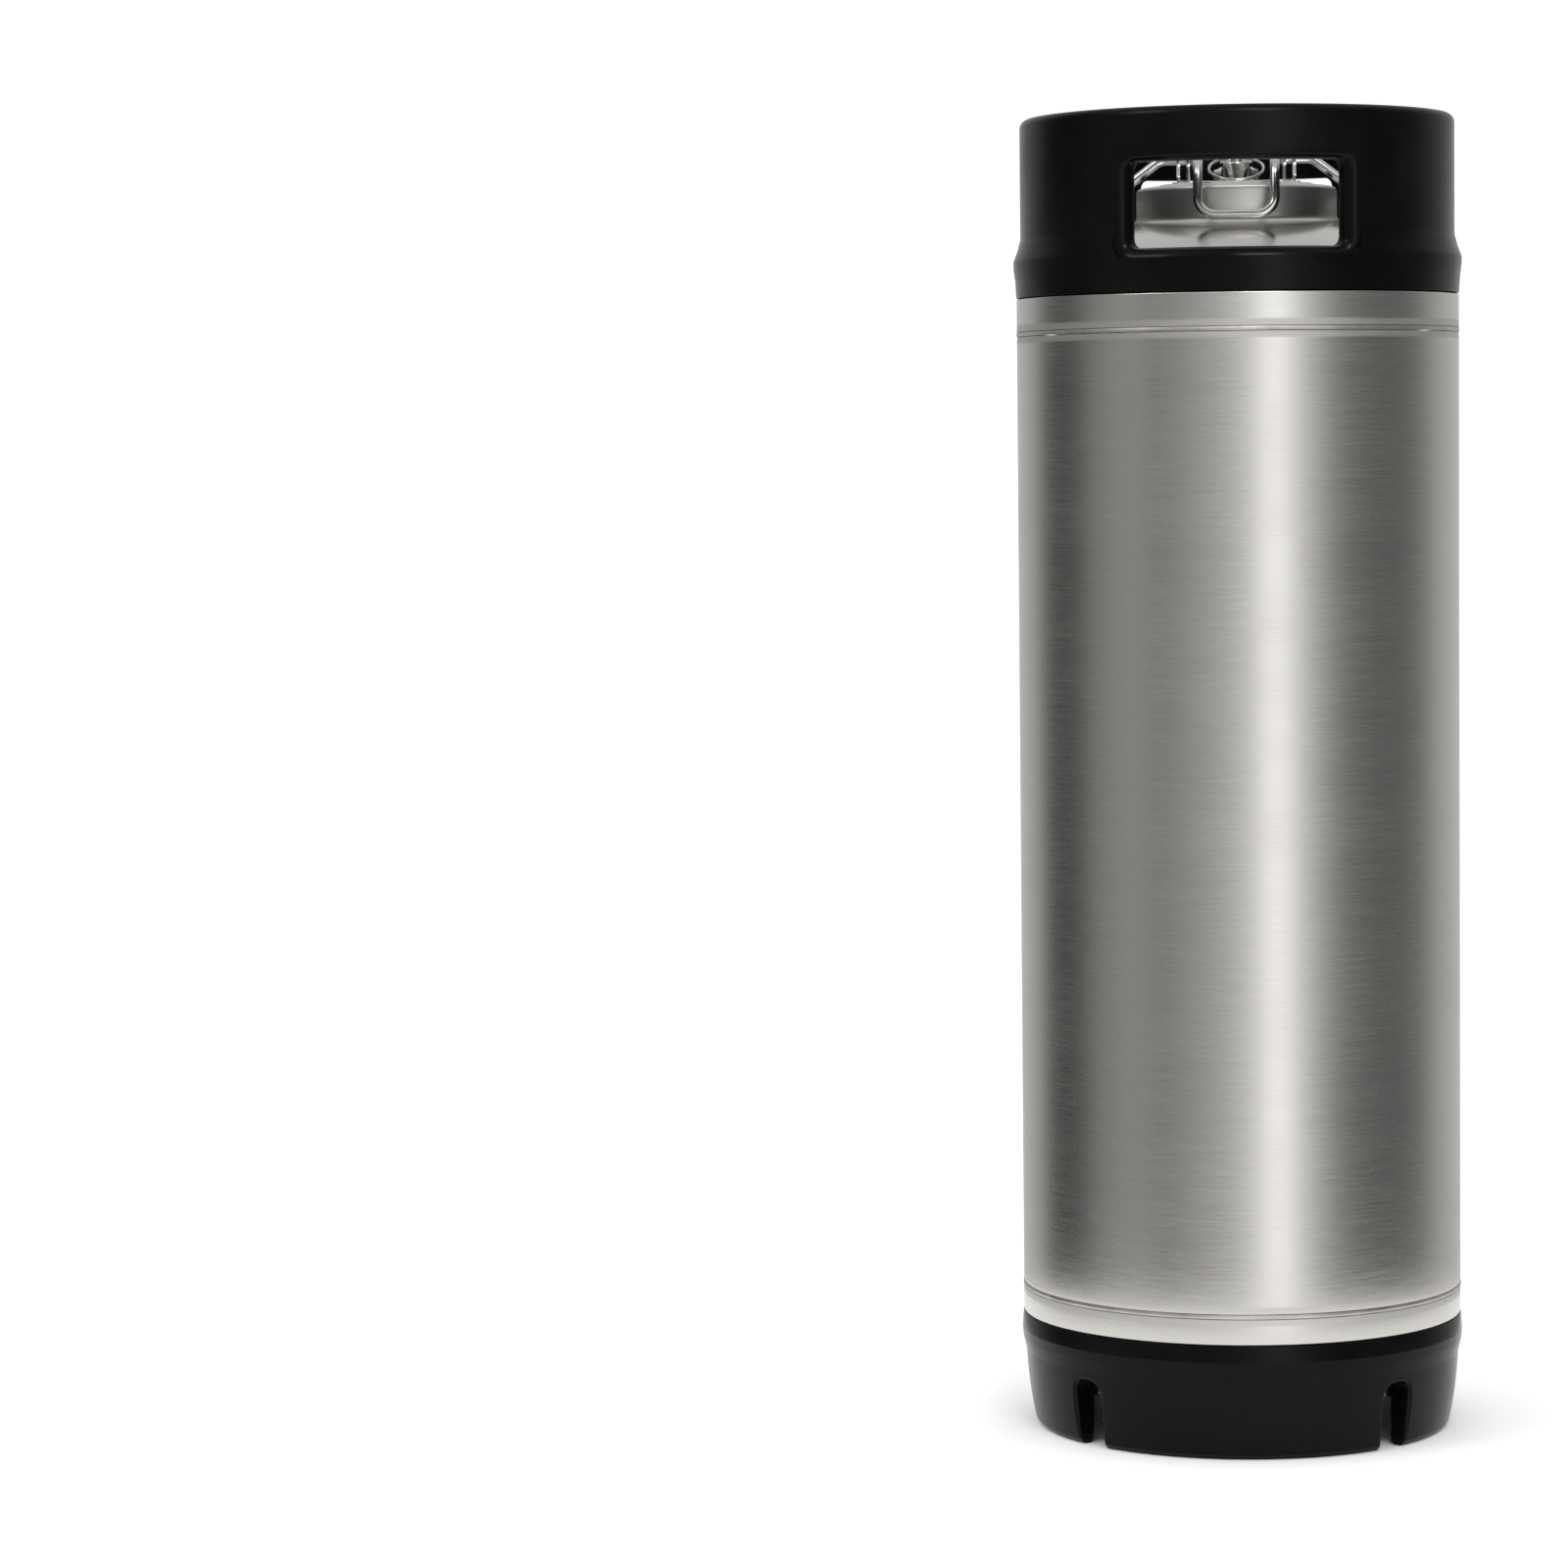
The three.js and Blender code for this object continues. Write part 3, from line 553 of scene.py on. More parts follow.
def turned(corners: Sequence[Corner], closed: bool = True, steps: int = 96, rounding: int = 5) -> Mesh:
    """Turn an outline about Z.

    Args:
        corners: the outline.
        closed: whether it closes on itself. An open one starts and ends on the axis, or is a skin.
        steps: the number of steps round.
        rounding: the number of edges in each rounded corner.

    Returns:
        The turned mesh.
    """
    bm = bmesh.new()
    verts = [bm.verts.new(point) for point in rounded_outline(corners, closed, rounding)]
    following = verts[1:] + verts[:1] if closed else verts[1:]
    edges = [bm.edges.new(pair) for pair in zip(verts, following)]
    bmesh.ops.spin(
        bm, geom=verts + edges, cent=(0, 0, 0), axis=(0, 0, 1), dvec=(0, 0, 0),
        angle=FULL_TURN, steps=steps, use_merge=True, use_duplicate=False,
    )
    bmesh.ops.remove_doubles(bm, verts=bm.verts, dist=1e-7)
    bmesh.ops.recalc_face_normals(bm, faces=bm.faces)
    return bm


def moved(bm: Mesh, by: Sequence[float]) -> Mesh:
    """Move a whole mesh."""
    bmesh.ops.translate(bm, verts=bm.verts, vec=Vector(by))
    return bm


def turned_about(bm: Mesh, axis: str, degrees: float) -> Mesh:
    """Turn a whole mesh about one of the frame's axes."""
    matrix = Matrix.Rotation(math.radians(degrees), 3, axis)
    bmesh.ops.rotate(bm, verts=bm.verts, cent=(0, 0, 0), matrix=matrix)
    return bm


def made_object(name: str, bm: Mesh, crease: float = 35.0) -> Piece:
    """Turn a mesh in the making into an object, smooth except over its sharp edges.

    Args:
        name: the piece's name.
        bm: its mesh, which is freed.
        crease: the angle in degrees past which an edge stays sharp.

    Returns:
        The new object.
    """
    mesh = bpy.data.meshes.new(name)
    bm.to_mesh(mesh)
    bm.free()
    mesh.shade_smooth()
    mesh.set_sharp_from_angle(angle=math.radians(crease))
    piece = bpy.data.objects.new(name, mesh)
    bpy.context.scene.collection.objects.link(piece)
    return piece


def apply_modifiers(piece: Piece, crease: float = 35.0) -> Piece:
    """Bake a piece's modifiers into its mesh.

    Args:
        piece: the piece.
        crease: the angle in degrees past which an edge stays sharp.

    Returns:
        The same piece, without modifiers.
    """
    bpy.context.view_layer.update()
    seen = piece.evaluated_get(bpy.context.evaluated_depsgraph_get())
    mesh = bpy.data.meshes.new_from_object(seen)
    old = piece.data
    piece.modifiers.clear()
    piece.data = mesh
    mesh.name = piece.name
    bpy.data.meshes.remove(old)
    mesh.shade_smooth()
    mesh.set_sharp_from_angle(angle=math.radians(crease))
    return piece


def carve(piece: Piece, tool: Mesh, operation: str = "DIFFERENCE") -> Piece:
    """Cut, join or trim a piece with a tool.

    Args:
        piece: the piece.
        tool: the other solid, which is used up.
        operation: DIFFERENCE, UNION or INTERSECT.

    Returns:
        The same piece.
    """
    cutter = made_object("tool", tool)
    modifier = piece.modifiers.new("carve", "BOOLEAN")
    modifier.operation = operation
    modifier.solver = "EXACT"
    modifier.object = cutter
    apply_modifiers(piece)
    bpy.data.objects.remove(cutter)
    return piece


def soften(piece: Piece, width: float, segments: int = 2, limit: float = 35.0) -> Piece:
    """Round a piece's sharp edges.

    Args:
        piece: the piece.
        width: the rounding's width in metres.
        segments: the number of faces across it.
        limit: only edges sharper than this angle in degrees are rounded.

    Returns:
        The same piece.
    """
    modifier = piece.modifiers.new("soften", "BEVEL")
    modifier.width = width
    modifier.segments = segments
    modifier.limit_method = "ANGLE"
    modifier.angle_limit = math.radians(limit)
    modifier.harden_normals = False
    return apply_modifiers(piece, 30.0)


@dataclass(frozen=True)
class Bend:
    """A corner of a wire: where its straight runs would meet, and its radius on the centreline."""

    at: tuple[float, float, float]
    radius: float = 0.0


def bent_wire(bends: Sequence[Bend], radius: float, sides: int = 16, steps: int = 8) -> Mesh:
    """Bend a round wire along straight runs and arcs, with a rounded nose at each end.

    Args:
        bends: the first end, the corners and the last end.
        radius: the wire's radius.
        sides: the number of sides round the wire.
        steps: the number of steps in each bend.

    Returns:
        The wire's mesh.
    """
    points = [Vector(bend.at) for bend in bends]
    heading = (points[1] - points[0]).normalized()
    bm = bmesh.new()
    turn = heading.to_track_quat("Z", "Y").to_matrix().to_4x4()
    made = bmesh.ops.create_circle(
        bm, cap_ends=False, segments=sides, radius=radius, matrix=Matrix.Translation(points[0]) @ turn
    )
    ring = made["verts"]
    tail = list(ring)
    place = points[0]
    for i, bend in enumerate(bends[1:], 1):
        corner = points[i]
        last = i == len(bends) - 1
        following = heading if last else (points[i + 1] - corner).normalized()
        angle = heading.angle(following)
        reach = bend.radius * math.tan(angle / 2)
        ring = run_on(bm, ring, corner - heading * reach - place)
        if not last:
            axis = heading.cross(following).normalized()
            inward = axis.cross(heading).normalized()
            centre = corner - heading * reach + inward * bend.radius
            ring = swing(bm, ring, centre, axis, angle, steps)
        place = corner + following * reach
        heading = following
    nose(bm, tail, points[0] - points[1], radius)
    nose(bm, ring, heading, radius)
    bmesh.ops.recalc_face_normals(bm, faces=bm.faces)
    return bm


def edges_of(verts: Iterable[Vert]) -> list[Edge]:
    """The edges that join these vertices to each other."""
    chosen = set(verts)
    return [edge for edge in {e for v in chosen for e in v.link_edges} if set(edge.verts) <= chosen]


def run_on(bm: Mesh, ring: list[Vert], by: Vector) -> list[Vert]:
    """Draw a wire's open end on in a straight run and return its new end."""
    made = bmesh.ops.extrude_edge_only(bm, edges=edges_of(ring))
    end = [item for item in made["geom"] if isinstance(item, Vert)]
    bmesh.ops.translate(bm, verts=end, vec=by)
    return end


def swing(
    bm: Mesh, ring: list[Vert], centre: Vector, axis: Vector, angle: float, steps: int
) -> list[Vert]:
    """Swing a wire's open end round a centre and return its new end."""
    made = bmesh.ops.spin(
        bm, geom=list(ring) + edges_of(ring), cent=centre, axis=axis, dvec=(0, 0, 0),
        angle=angle, steps=steps, use_duplicate=False,
    )
    return [item for item in made["geom_last"] if isinstance(item, Vert)]


def nose(bm: Mesh, ring: list[Vert], heading: Vector, radius: float) -> None:
    """Close a wire's end with a small chamfered nose."""
    forward = heading.normalized() * 0.25 * radius
    end = run_on(bm, ring, forward)
    middle = sum((v.co for v in end), Vector()) / len(end)
    bmesh.ops.scale(bm, vec=(0.7, 0.7, 0.7), space=Matrix.Translation(-middle), verts=end)
    bmesh.ops.contextual_create(bm, geom=edges_of(end))


def torus(centre_radius: float, radius: float, steps: int = 96, sides: int = 16) -> Mesh:
    """A ring of round section about Z."""
    bm = bmesh.new()
    matrix = Matrix.Translation((centre_radius, 0, 0)) @ Matrix.Rotation(math.pi / 2, 4, "X")
    made = bmesh.ops.create_circle(bm, cap_ends=False, segments=sides, radius=radius, matrix=matrix)
    bmesh.ops.spin(
        bm, geom=made["verts"] + edges_of(made["verts"]), cent=(0, 0, 0), axis=(0, 0, 1), dvec=(0, 0, 0),
        angle=FULL_TURN, steps=steps, use_merge=True, use_duplicate=False,
    )
    bmesh.ops.remove_doubles(bm, verts=bm.verts, dist=1e-7)
    bmesh.ops.recalc_face_normals(bm, faces=bm.faces)
    return bm


def cylinder(radius: float, low: float, high: float, steps: int = 48) -> Mesh:
    """A plain round bar along Z, used as a cutting tool."""
    bm = bmesh.new()
    matrix = Matrix.Translation((0, 0, (low + high) / 2))
    bmesh.ops.create_cone(
        bm, cap_ends=True, segments=steps, radius1=radius, radius2=radius, depth=high - low, matrix=matrix
    )
    return bm


def block(low: Sequence[float], high: Sequence[float]) -> Mesh:
    """A plain block between two corners, used as a cutting tool."""
    bm = bmesh.new()
    bmesh.ops.create_cube(bm, size=1.0)
    bmesh.ops.scale(bm, verts=bm.verts, vec=Vector(high) - Vector(low))
    return moved(bm, (Vector(high) + Vector(low)) / 2)


def hexagon(across_flats: float, low: float, high: float, chamfer: float) -> Mesh:
    """A hexagonal nut's body with its corners turned off top and bottom.

    Args:
        across_flats: its width across flats.
        low: the height of its bottom.
        high: the height of its top.
        chamfer: how far down the corners are turned off.

    Returns:
        Its mesh.
    """
    bm = cylinder(across_flats / math.sqrt(3), low, high, 6)
    rims = [e for e in bm.edges if abs(e.verts[0].co.z - e.verts[1].co.z) < 1e-6]
    bmesh.ops.bevel(
        bm, geom=rims, offset=chamfer, offset_type="OFFSET", segments=2, profile=0.5,
        affect="EDGES", material=-1,
    )
    return bm


def plate(outline: Sequence[Vector], thickness: Vector) -> Mesh:
    """Draw a flat outline out into a plate."""
    bm = bmesh.new()
    face = bm.faces.new([bm.verts.new(point) for point in outline])
    made = bmesh.ops.extrude_face_region(bm, geom=[face])
    top = [item for item in made["geom"] if isinstance(item, Vert)]
    bmesh.ops.translate(bm, verts=top, vec=thickness)
    bmesh.ops.recalc_face_normals(bm, faces=bm.faces)
    return bm


def present(
    piece: Piece, body: Body, finish: object, replaces: Sequence[str] = ()
) -> Piece:
    """Dress a piece and hang it on its body.

    Args:
        piece: the piece, in its place.
        body: the body that it moves with.
        finish: its finish.
        replaces: the plain solids that it stands for.

    Returns:
        The piece.
    """
    piece.data.materials.clear()
    piece.data.materials.append(PAINTS.get(finish))
    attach(piece, body.value)
    if replaces:
        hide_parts(*replaces)
    log.info("%s rides on %s", piece.name, body.value)
    return piece


# ---- Studio ---------------------------------------------------------------------------------


@dataclass(frozen=True)
class SoftBox:
    """A soft lamp aimed at a point on the keg's axis."""

    name: str
    azimuth: float
    distance: float
    height: float
    width: float
    tall: float
    power: float


@dataclass
class Studio:
    """A pale floor, a plain bright surround, soft lamps and the camera."""

    camera_distance: float = 2.435
    camera_height: float = 0.489
    pitch: float = 4.0
    roll: float = 0.641
    yaw: float = 5.253
    lens: float = 112.96
    sensor: float = 36.0
    aim_height: float = 0.34
    floor_radius: float = 0.42
    horizon: tuple[tuple[float, float], ...] = (
        (-180, 0.70), (-153, 0.62), (-146, 0.58), (-130, 0.45), (-112, 0.075), (-100, 0.055), (-90, 0.10),
        (-80, 0.25), (-71, 0.30), (-54, 0.36), (-43, 0.26), (-31, 0.33), (-17, 0.44), (-6, 0.57),
        (4.6, 0.80), (11.7, 1.20), (18.9, 1.75), (26, 1.27), (33.6, 0.78), (41, 0.53), (49, 0.31),
        (57, 0.19), (65, 0.15), (83, 0.115), (93, 0.13), (104, 0.18), (116, 0.35), (131, 0.52), (153, 0.63),
        (180, 0.70),
    )
    lamps: tuple[SoftBox, ...] = (
        SoftBox("key_soft", 14, 2.0, 2.5, 0.9, 0.7, 16),
        SoftBox("left_soft", -55, 2.0, 2.3, 0.8, 0.8, 10),
    )

    def build(self) -> None:
        """Set up the camera, then the room."""
        self.place_camera()
        self.lay_floor()
        self.light_room()
        for lamp in self.lamps:
            self.hang(lamp)

    def place_camera(self) -> None:
        """Stand the camera in front of the hand hole, a little off the keg's centre line."""
        data = bpy.data.cameras.new("camera")
        data.lens = self.lens
        data.sensor_width = self.sensor
        data.clip_end = 200.0
        camera = bpy.data.objects.new("camera", data)
        camera.location = (0, -self.camera_distance, self.camera_height)
        turn = (90 - self.pitch, self.roll, self.yaw)
        camera.rotation_euler = [math.radians(angle) for angle in turn]
        bpy.context.scene.collection.objects.link(camera)
        bpy.context.scene.camera = camera

    def lay_floor(self) -> None:
        """Lay a round of pale floor."""
        bm = bmesh.new()
        bmesh.ops.create_circle(bm, cap_ends=True, segments=64, radius=self.floor_radius)
        floor = made_object("floor", bm)
        floor.data.materials.append(PAINTS.get(PAPER))

    def light_room(self) -> None:
        """Surround the keg with white, and give its gloss a ring of soft panels to mirror."""
        scene = bpy.context.scene
        scene.view_settings.view_transform = "Standard"
        world = bpy.data.worlds.new("room")
        world.use_nodes = True
        scene.world = world
        tree = world.node_tree
        tree.nodes.clear()
        white = tree.nodes.new("ShaderNodeBackground")
        white.inputs[0].default_value = (1, 1, 1, 1)
        white.inputs[1].default_value = 1.2
        panels = tree.nodes.new("ShaderNodeBackground")
        tree.links.new(self.panel_light(tree), panels.inputs[0])
        path = tree.nodes.new("ShaderNodeLightPath")
        mix = tree.nodes.new("ShaderNodeMixShader")
        output = tree.nodes.new("ShaderNodeOutputWorld")
        tree.links.new(path.outputs["Is Glossy Ray"], mix.inputs[0])
        tree.links.new(white.outputs[0], mix.inputs[1])
        tree.links.new(panels.outputs[0], mix.inputs[2])
        tree.links.new(mix.outputs[0], output.inputs[0])

    def panel_light(self, tree: bpy.types.NodeTree) -> Socket:
        """Brightness of the surround by direction: the ring of panels, and a soft box overhead.

        Args:
            tree: the world's node tree.

        Returns:
            The brightness output.
        """

        def math_node(operation: str, *values: object) -> Socket:
            """Add a Math node and fill its inputs."""
            node = tree.nodes.new("ShaderNodeMath")
            node.operation = operation
            for socket, value in zip(node.inputs, values):
                if isinstance(value, Socket):
                    tree.links.new(value, socket)
                else:
                    socket.default_value = value
            return node.outputs[0]

        coordinates = tree.nodes.new("ShaderNodeTexCoord")
        split = tree.nodes.new("ShaderNodeSeparateXYZ")
        tree.links.new(coordinates.outputs["Generated"], split.inputs[0])
        x, y, z = split.outputs
        azimuth = math_node("ARCTAN2", x, math_node("MULTIPLY", y, -1.0))
        share = math_node("ADD", math_node("DIVIDE", azimuth, FULL_TURN), 0.5)
        curve = tree.nodes.new("ShaderNodeFloatCurve")
        points = curve.mapping.curves[0].points
        brightest = max(level for _, level in self.horizon)
        for i, (degrees, level) in enumerate(self.horizon):
            place = (degrees / 360 + 0.5, level / brightest)
            if i in (0, len(self.horizon) - 1):
                points[min(i, 1) * (len(points) - 1)].location = place
            else:
                points.new(*place)
        curve.mapping.update()
        tree.links.new(share, curve.inputs["Value"])
        ring = math_node("MULTIPLY", curve.outputs[0], brightest)
        overhead = tree.nodes.new("ShaderNodeMapRange")
        overhead.interpolation_type = "SMOOTHSTEP"
        overhead.inputs["From Min"].default_value = 0.55
        overhead.inputs["From Max"].default_value = 0.85
        tree.links.new(z, overhead.inputs["Value"])
        mix = tree.nodes.new("ShaderNodeMix")
        tree.links.new(overhead.outputs[0], mix.inputs[0])
        tree.links.new(ring, mix.inputs[2])
        mix.inputs[3].default_value = 0.62
        return mix.outputs[0]

    def hang(self, lamp: SoftBox) -> None:
        """Hang one soft lamp.

        Args:
            lamp: the lamp, its azimuth counted from the camera's side towards +X.
        """
        data = bpy.data.lights.new(lamp.name, "AREA")
        data.shape = "RECTANGLE"
        data.size = lamp.width
        data.size_y = lamp.tall
        data.energy = lamp.power
        angle = math.radians(lamp.azimuth)
        place = Vector((math.sin(angle) * lamp.distance, -math.cos(angle) * lamp.distance, lamp.height))
        aim = Vector((0, 0, self.aim_height)) - place
        light = bpy.data.objects.new(lamp.name, data)
        light.location = place
        light.rotation_euler = aim.to_track_quat("-Z", "Y").to_euler()
        light.visible_camera = False
        bpy.context.scene.collection.objects.link(light)


# ---- Vessel ---------------------------------------------------------------------------------


@dataclass(frozen=True)
class DishedHead:
    """The curve of a torispherical head, upright, from its own tangent height."""

    radius: float
    step: float = 1.8 * MM
    tangent: float = 558.0 * MM

    @property
    def neck(self) -> float:
        """Radius of the neck that the rubber grips."""
        return self.radius - self.step

    @property
    def knuckle(self) -> float:
        """Radius of the knuckle."""
        return 0.2 * self.radius

    @property
    def crown(self) -> float:
        """Radius of the crown."""
        return 2 * self.radius

    @property
    def knuckle_centre(self) -> float:
        """Distance of the knuckle's centre from the axis."""
        return self.neck - self.knuckle

    @property
    def crown_drop(self) -> float:
        """How far the crown's centre lies below the tangent height."""
        return math.sqrt((self.crown - self.knuckle) ** 2 - self.knuckle_centre**2)

    @property
    def meeting(self) -> float:
        """The angle, in degrees, at which knuckle and crown meet."""
        return math.degrees(math.acos(self.knuckle_centre / (self.crown - self.knuckle)))

    def height(self, distance: float) -> float:
        """Height of the crown at a distance from the axis."""
        return self.tangent - self.crown_drop + math.sqrt(self.crown**2 - distance**2)

    def knuckle_arc(self, inset: float, start: float, end: float, steps: int) -> list[Corner]:
        """The knuckle between two angles, moved in by inset."""
        return arc_points(self.knuckle_centre, self.tangent, self.knuckle - inset, start, end, steps)

    def crown_arc(self, inset: float, end: float, steps: int) -> list[Corner]:
        """The crown from the knuckle up to an angle, moved in by inset."""
        return arc_points(0, self.tangent - self.crown_drop, self.crown - inset, self.meeting, end, steps)


@dataclass
class Vessel:
    """The stainless vessel: shell, two heads and the welds between them."""

    wall: float = 1.5 * MM
    collar_half_width: float = 49.0 * MM
    collar_top: float = 609.5 * MM
    lip_half_width: float = 42.5 * MM
    oval_stretch: float = 8.5 * MM
    steps: int = 192
    shell_low: Vector = field(init=False)
    shell_high: Vector = field(init=False)
    head: DishedHead = field(init=False)

    def __post_init__(self) -> None:
        """Take the shell's size from its plain solid."""
        self.shell_low, self.shell_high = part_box("body_shell")
        self.head = DishedHead(self.shell_high.x)

    @property
    def radius(self) -> float:
        """The shell's outside radius."""
        return self.shell_high.x

    def build(self) -> None:
        """Make every piece of the vessel."""
        self.shell()
        for name in ("upper_weld_bead", "lower_weld_bead"):
            self.weld(name)
        self.top_head()
        self.bottom_head()

    def shell(self) -> None:
        """Turn the shell, with its ends dressed down beside the welds."""
        low, high = self.shell_low.z, self.shell_high.z
        inner = self.radius - self.wall
        dressed = self.radius - 0.15 * MM
        bm = turned(
            [
                Corner(inner, low), Corner(dressed, low, 0.1 * MM), Corner(self.radius, low + 2.5 * MM),
                Corner(self.radius, high - 2.5 * MM), Corner(dressed, high, 0.1 * MM), Corner(inner, high),
            ],
            steps=self.steps,
        )
        rows = [edge for edge in bm.edges if abs(edge.verts[0].co.z - edge.verts[1].co.z) > 0.3]
        bmesh.ops.subdivide_edges(bm, edges=rows, cuts=24, use_grid_fill=True)
        present(made_object("shell_wall", bm), Body.KEG, BODY_STEEL, ["body_shell"])

    def weld(self, node: str) -> None:
        """Turn a girth weld with a low crown."""
        low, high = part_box(node)
        middle = (low.z + high.z) / 2
        bm = turned(
            [
                Corner(self.radius - self.wall, low.z),
                Corner(self.radius, low.z, 0.1 * MM),
                Corner(self.radius + 0.3 * MM, middle, 0.9 * MM),
                Corner(self.radius, high.z, 0.1 * MM),
                Corner(self.radius - self.wall, high.z),
            ],
            steps=self.steps,
        )
        present(made_object(node + "_seam", bm), Body.KEG, WELD, [node])

    def skin(self, weld_edge: float) -> list[Corner]:
        """A head's outside from its weld to the start of its crown."""
        head = self.head
        return [
            Corner(self.radius, weld_edge),
            Corner(self.radius, head.tangent - 2.0 * MM, 0.6 * MM),
            Corner(head.neck, head.tangent - 0.5 * MM, 0.4 * MM),
            *head.knuckle_arc(0, 0, head.meeting, 12),
        ]

    def top_head(self) -> None:
        """Turn the top head, draw its middle out to the oval collar and give it its thickness."""
        head = self.head
        base = head.height(self.collar_half_width)
        crown = [Corner(r, head.height(r)) for r in self.crown_radii()]
        bm = turned(
            [
                *self.skin(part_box("top_head")[0].z),
                *crown,
                Corner(self.collar_half_width, base, 3.2 * MM),
                Corner(self.collar_half_width, self.collar_top, 5.2 * MM),
                Corner(self.lip_half_width + 1.0 * MM, self.collar_top, 0.6 * MM),
                Corner(self.lip_half_width, self.collar_top - 1.0 * MM),
            ],
            closed=False,
            steps=self.steps,
            rounding=7,
        )
        self.draw_oval(bm, base)
        bmesh.ops.recalc_face_normals(bm, faces=bm.faces)
        self.face_up(bm)
        piece = made_object("top_head_skin", bm, 40.0)
        thickness = piece.modifiers.new("thickness", "SOLIDIFY")
        thickness.thickness = self.wall
        thickness.offset = -1.0
        thickness.use_even_offset = True
        present(apply_modifiers(piece, 40.0), Body.KEG, HEAD_STEEL, ["top_head"])

    def crown_radii(self) -> list[float]:
        """Distances from the axis at which the crown is drawn, from the knuckle in to the collar."""
        start = self.head.crown * math.cos(math.radians(self.head.meeting))
        end = self.collar_half_width + 5.0 * MM
        return [start + (end - start) * k / 14 for k in range(1, 15)]

    def draw_oval(self, bm: Mesh, base: float) -> None:
        """Carry the round head over into the oval collar.

        Args:
            bm: the turned head.
            base: the height at which the collar leaves the crown beside the short axis.
        """
        outer = 92.0 * MM
        inner = self.collar_half_width + 4.0 * MM
        for vert in bm.verts:
            distance = math.hypot(vert.co.x, vert.co.y)
            if distance >= outer:
                continue
            share = min(1.0, (outer - distance) / (outer - inner))
            share = share * share * (3 - 2 * share)
            above = vert.co.z - self.head.height(distance)
            vert.co.y += self.oval_stretch * share * vert.co.y / distance
            crown = self.head.height(math.hypot(vert.co.x, vert.co.y))
            fall = base - crown
            climb = max(0.0, min(1.0, above / (self.collar_top - base)))
            if distance > inner - 0.2 * MM:
                vert.co.z = crown + above
            else:
                vert.co.z -= fall * (1 - climb)

    def face_up(self, bm: Mesh) -> None:
        """Turn the head's faces outwards if they look into the vessel."""
        bm.normal_update()
        top = max(bm.faces, key=lambda face: abs(face.normal.z))
        if top.normal.z < 0:
            bmesh.ops.reverse_faces(bm, faces=bm.faces)

    def bottom_head(self) -> None:
        """Turn the bottom head, which is the top one's curve upside down."""
        head = self.head
        low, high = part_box("bottom_head")
        mirror = low.z + head.height(0)
        weld_edge = mirror - high.z

        def face(inset: float) -> list[Corner]:
            """One side of the head's wall, moved in by inset."""
            return [
                Corner(self.radius - inset, weld_edge),
                Corner(self.radius - inset, head.tangent - 2.0 * MM - 0.5 * inset, 0.6 * MM),
                Corner(head.neck - inset, head.tangent - 0.5 * MM, 0.4 * MM),
                *head.knuckle_arc(inset, 0, head.meeting, 12),
                *head.crown_arc(inset, 90, 12)[1:-1],
                Corner(0.0, head.tangent - head.crown_drop + head.crown - inset),
            ]

        outline = [*face(0.0), *reversed(face(self.wall))]
        flipped = [Corner(corner.r, mirror - corner.z, corner.round) for corner in outline]
        joined = [*flipped[1:], flipped[0]]
        split = next(i for i, corner in enumerate(joined) if corner.r == 0.0)
        ordered = [*joined[split + 1 :], *joined[: split + 1]]
        bm = turned(ordered, closed=False, steps=self.steps)
        present(made_object("bottom_head_skin", bm), Body.KEG, BODY_STEEL, ["bottom_head"])


# ---- Rubber ---------------------------------------------------------------------------------


def upright_box(half_width: float, low: float, high: float) -> tuple[tuple[float, float], ...]:
    """The corners of a window as (arc length, height)."""
    return ((-half_width, low), (half_width, low), (half_width, high), (-half_width, high))


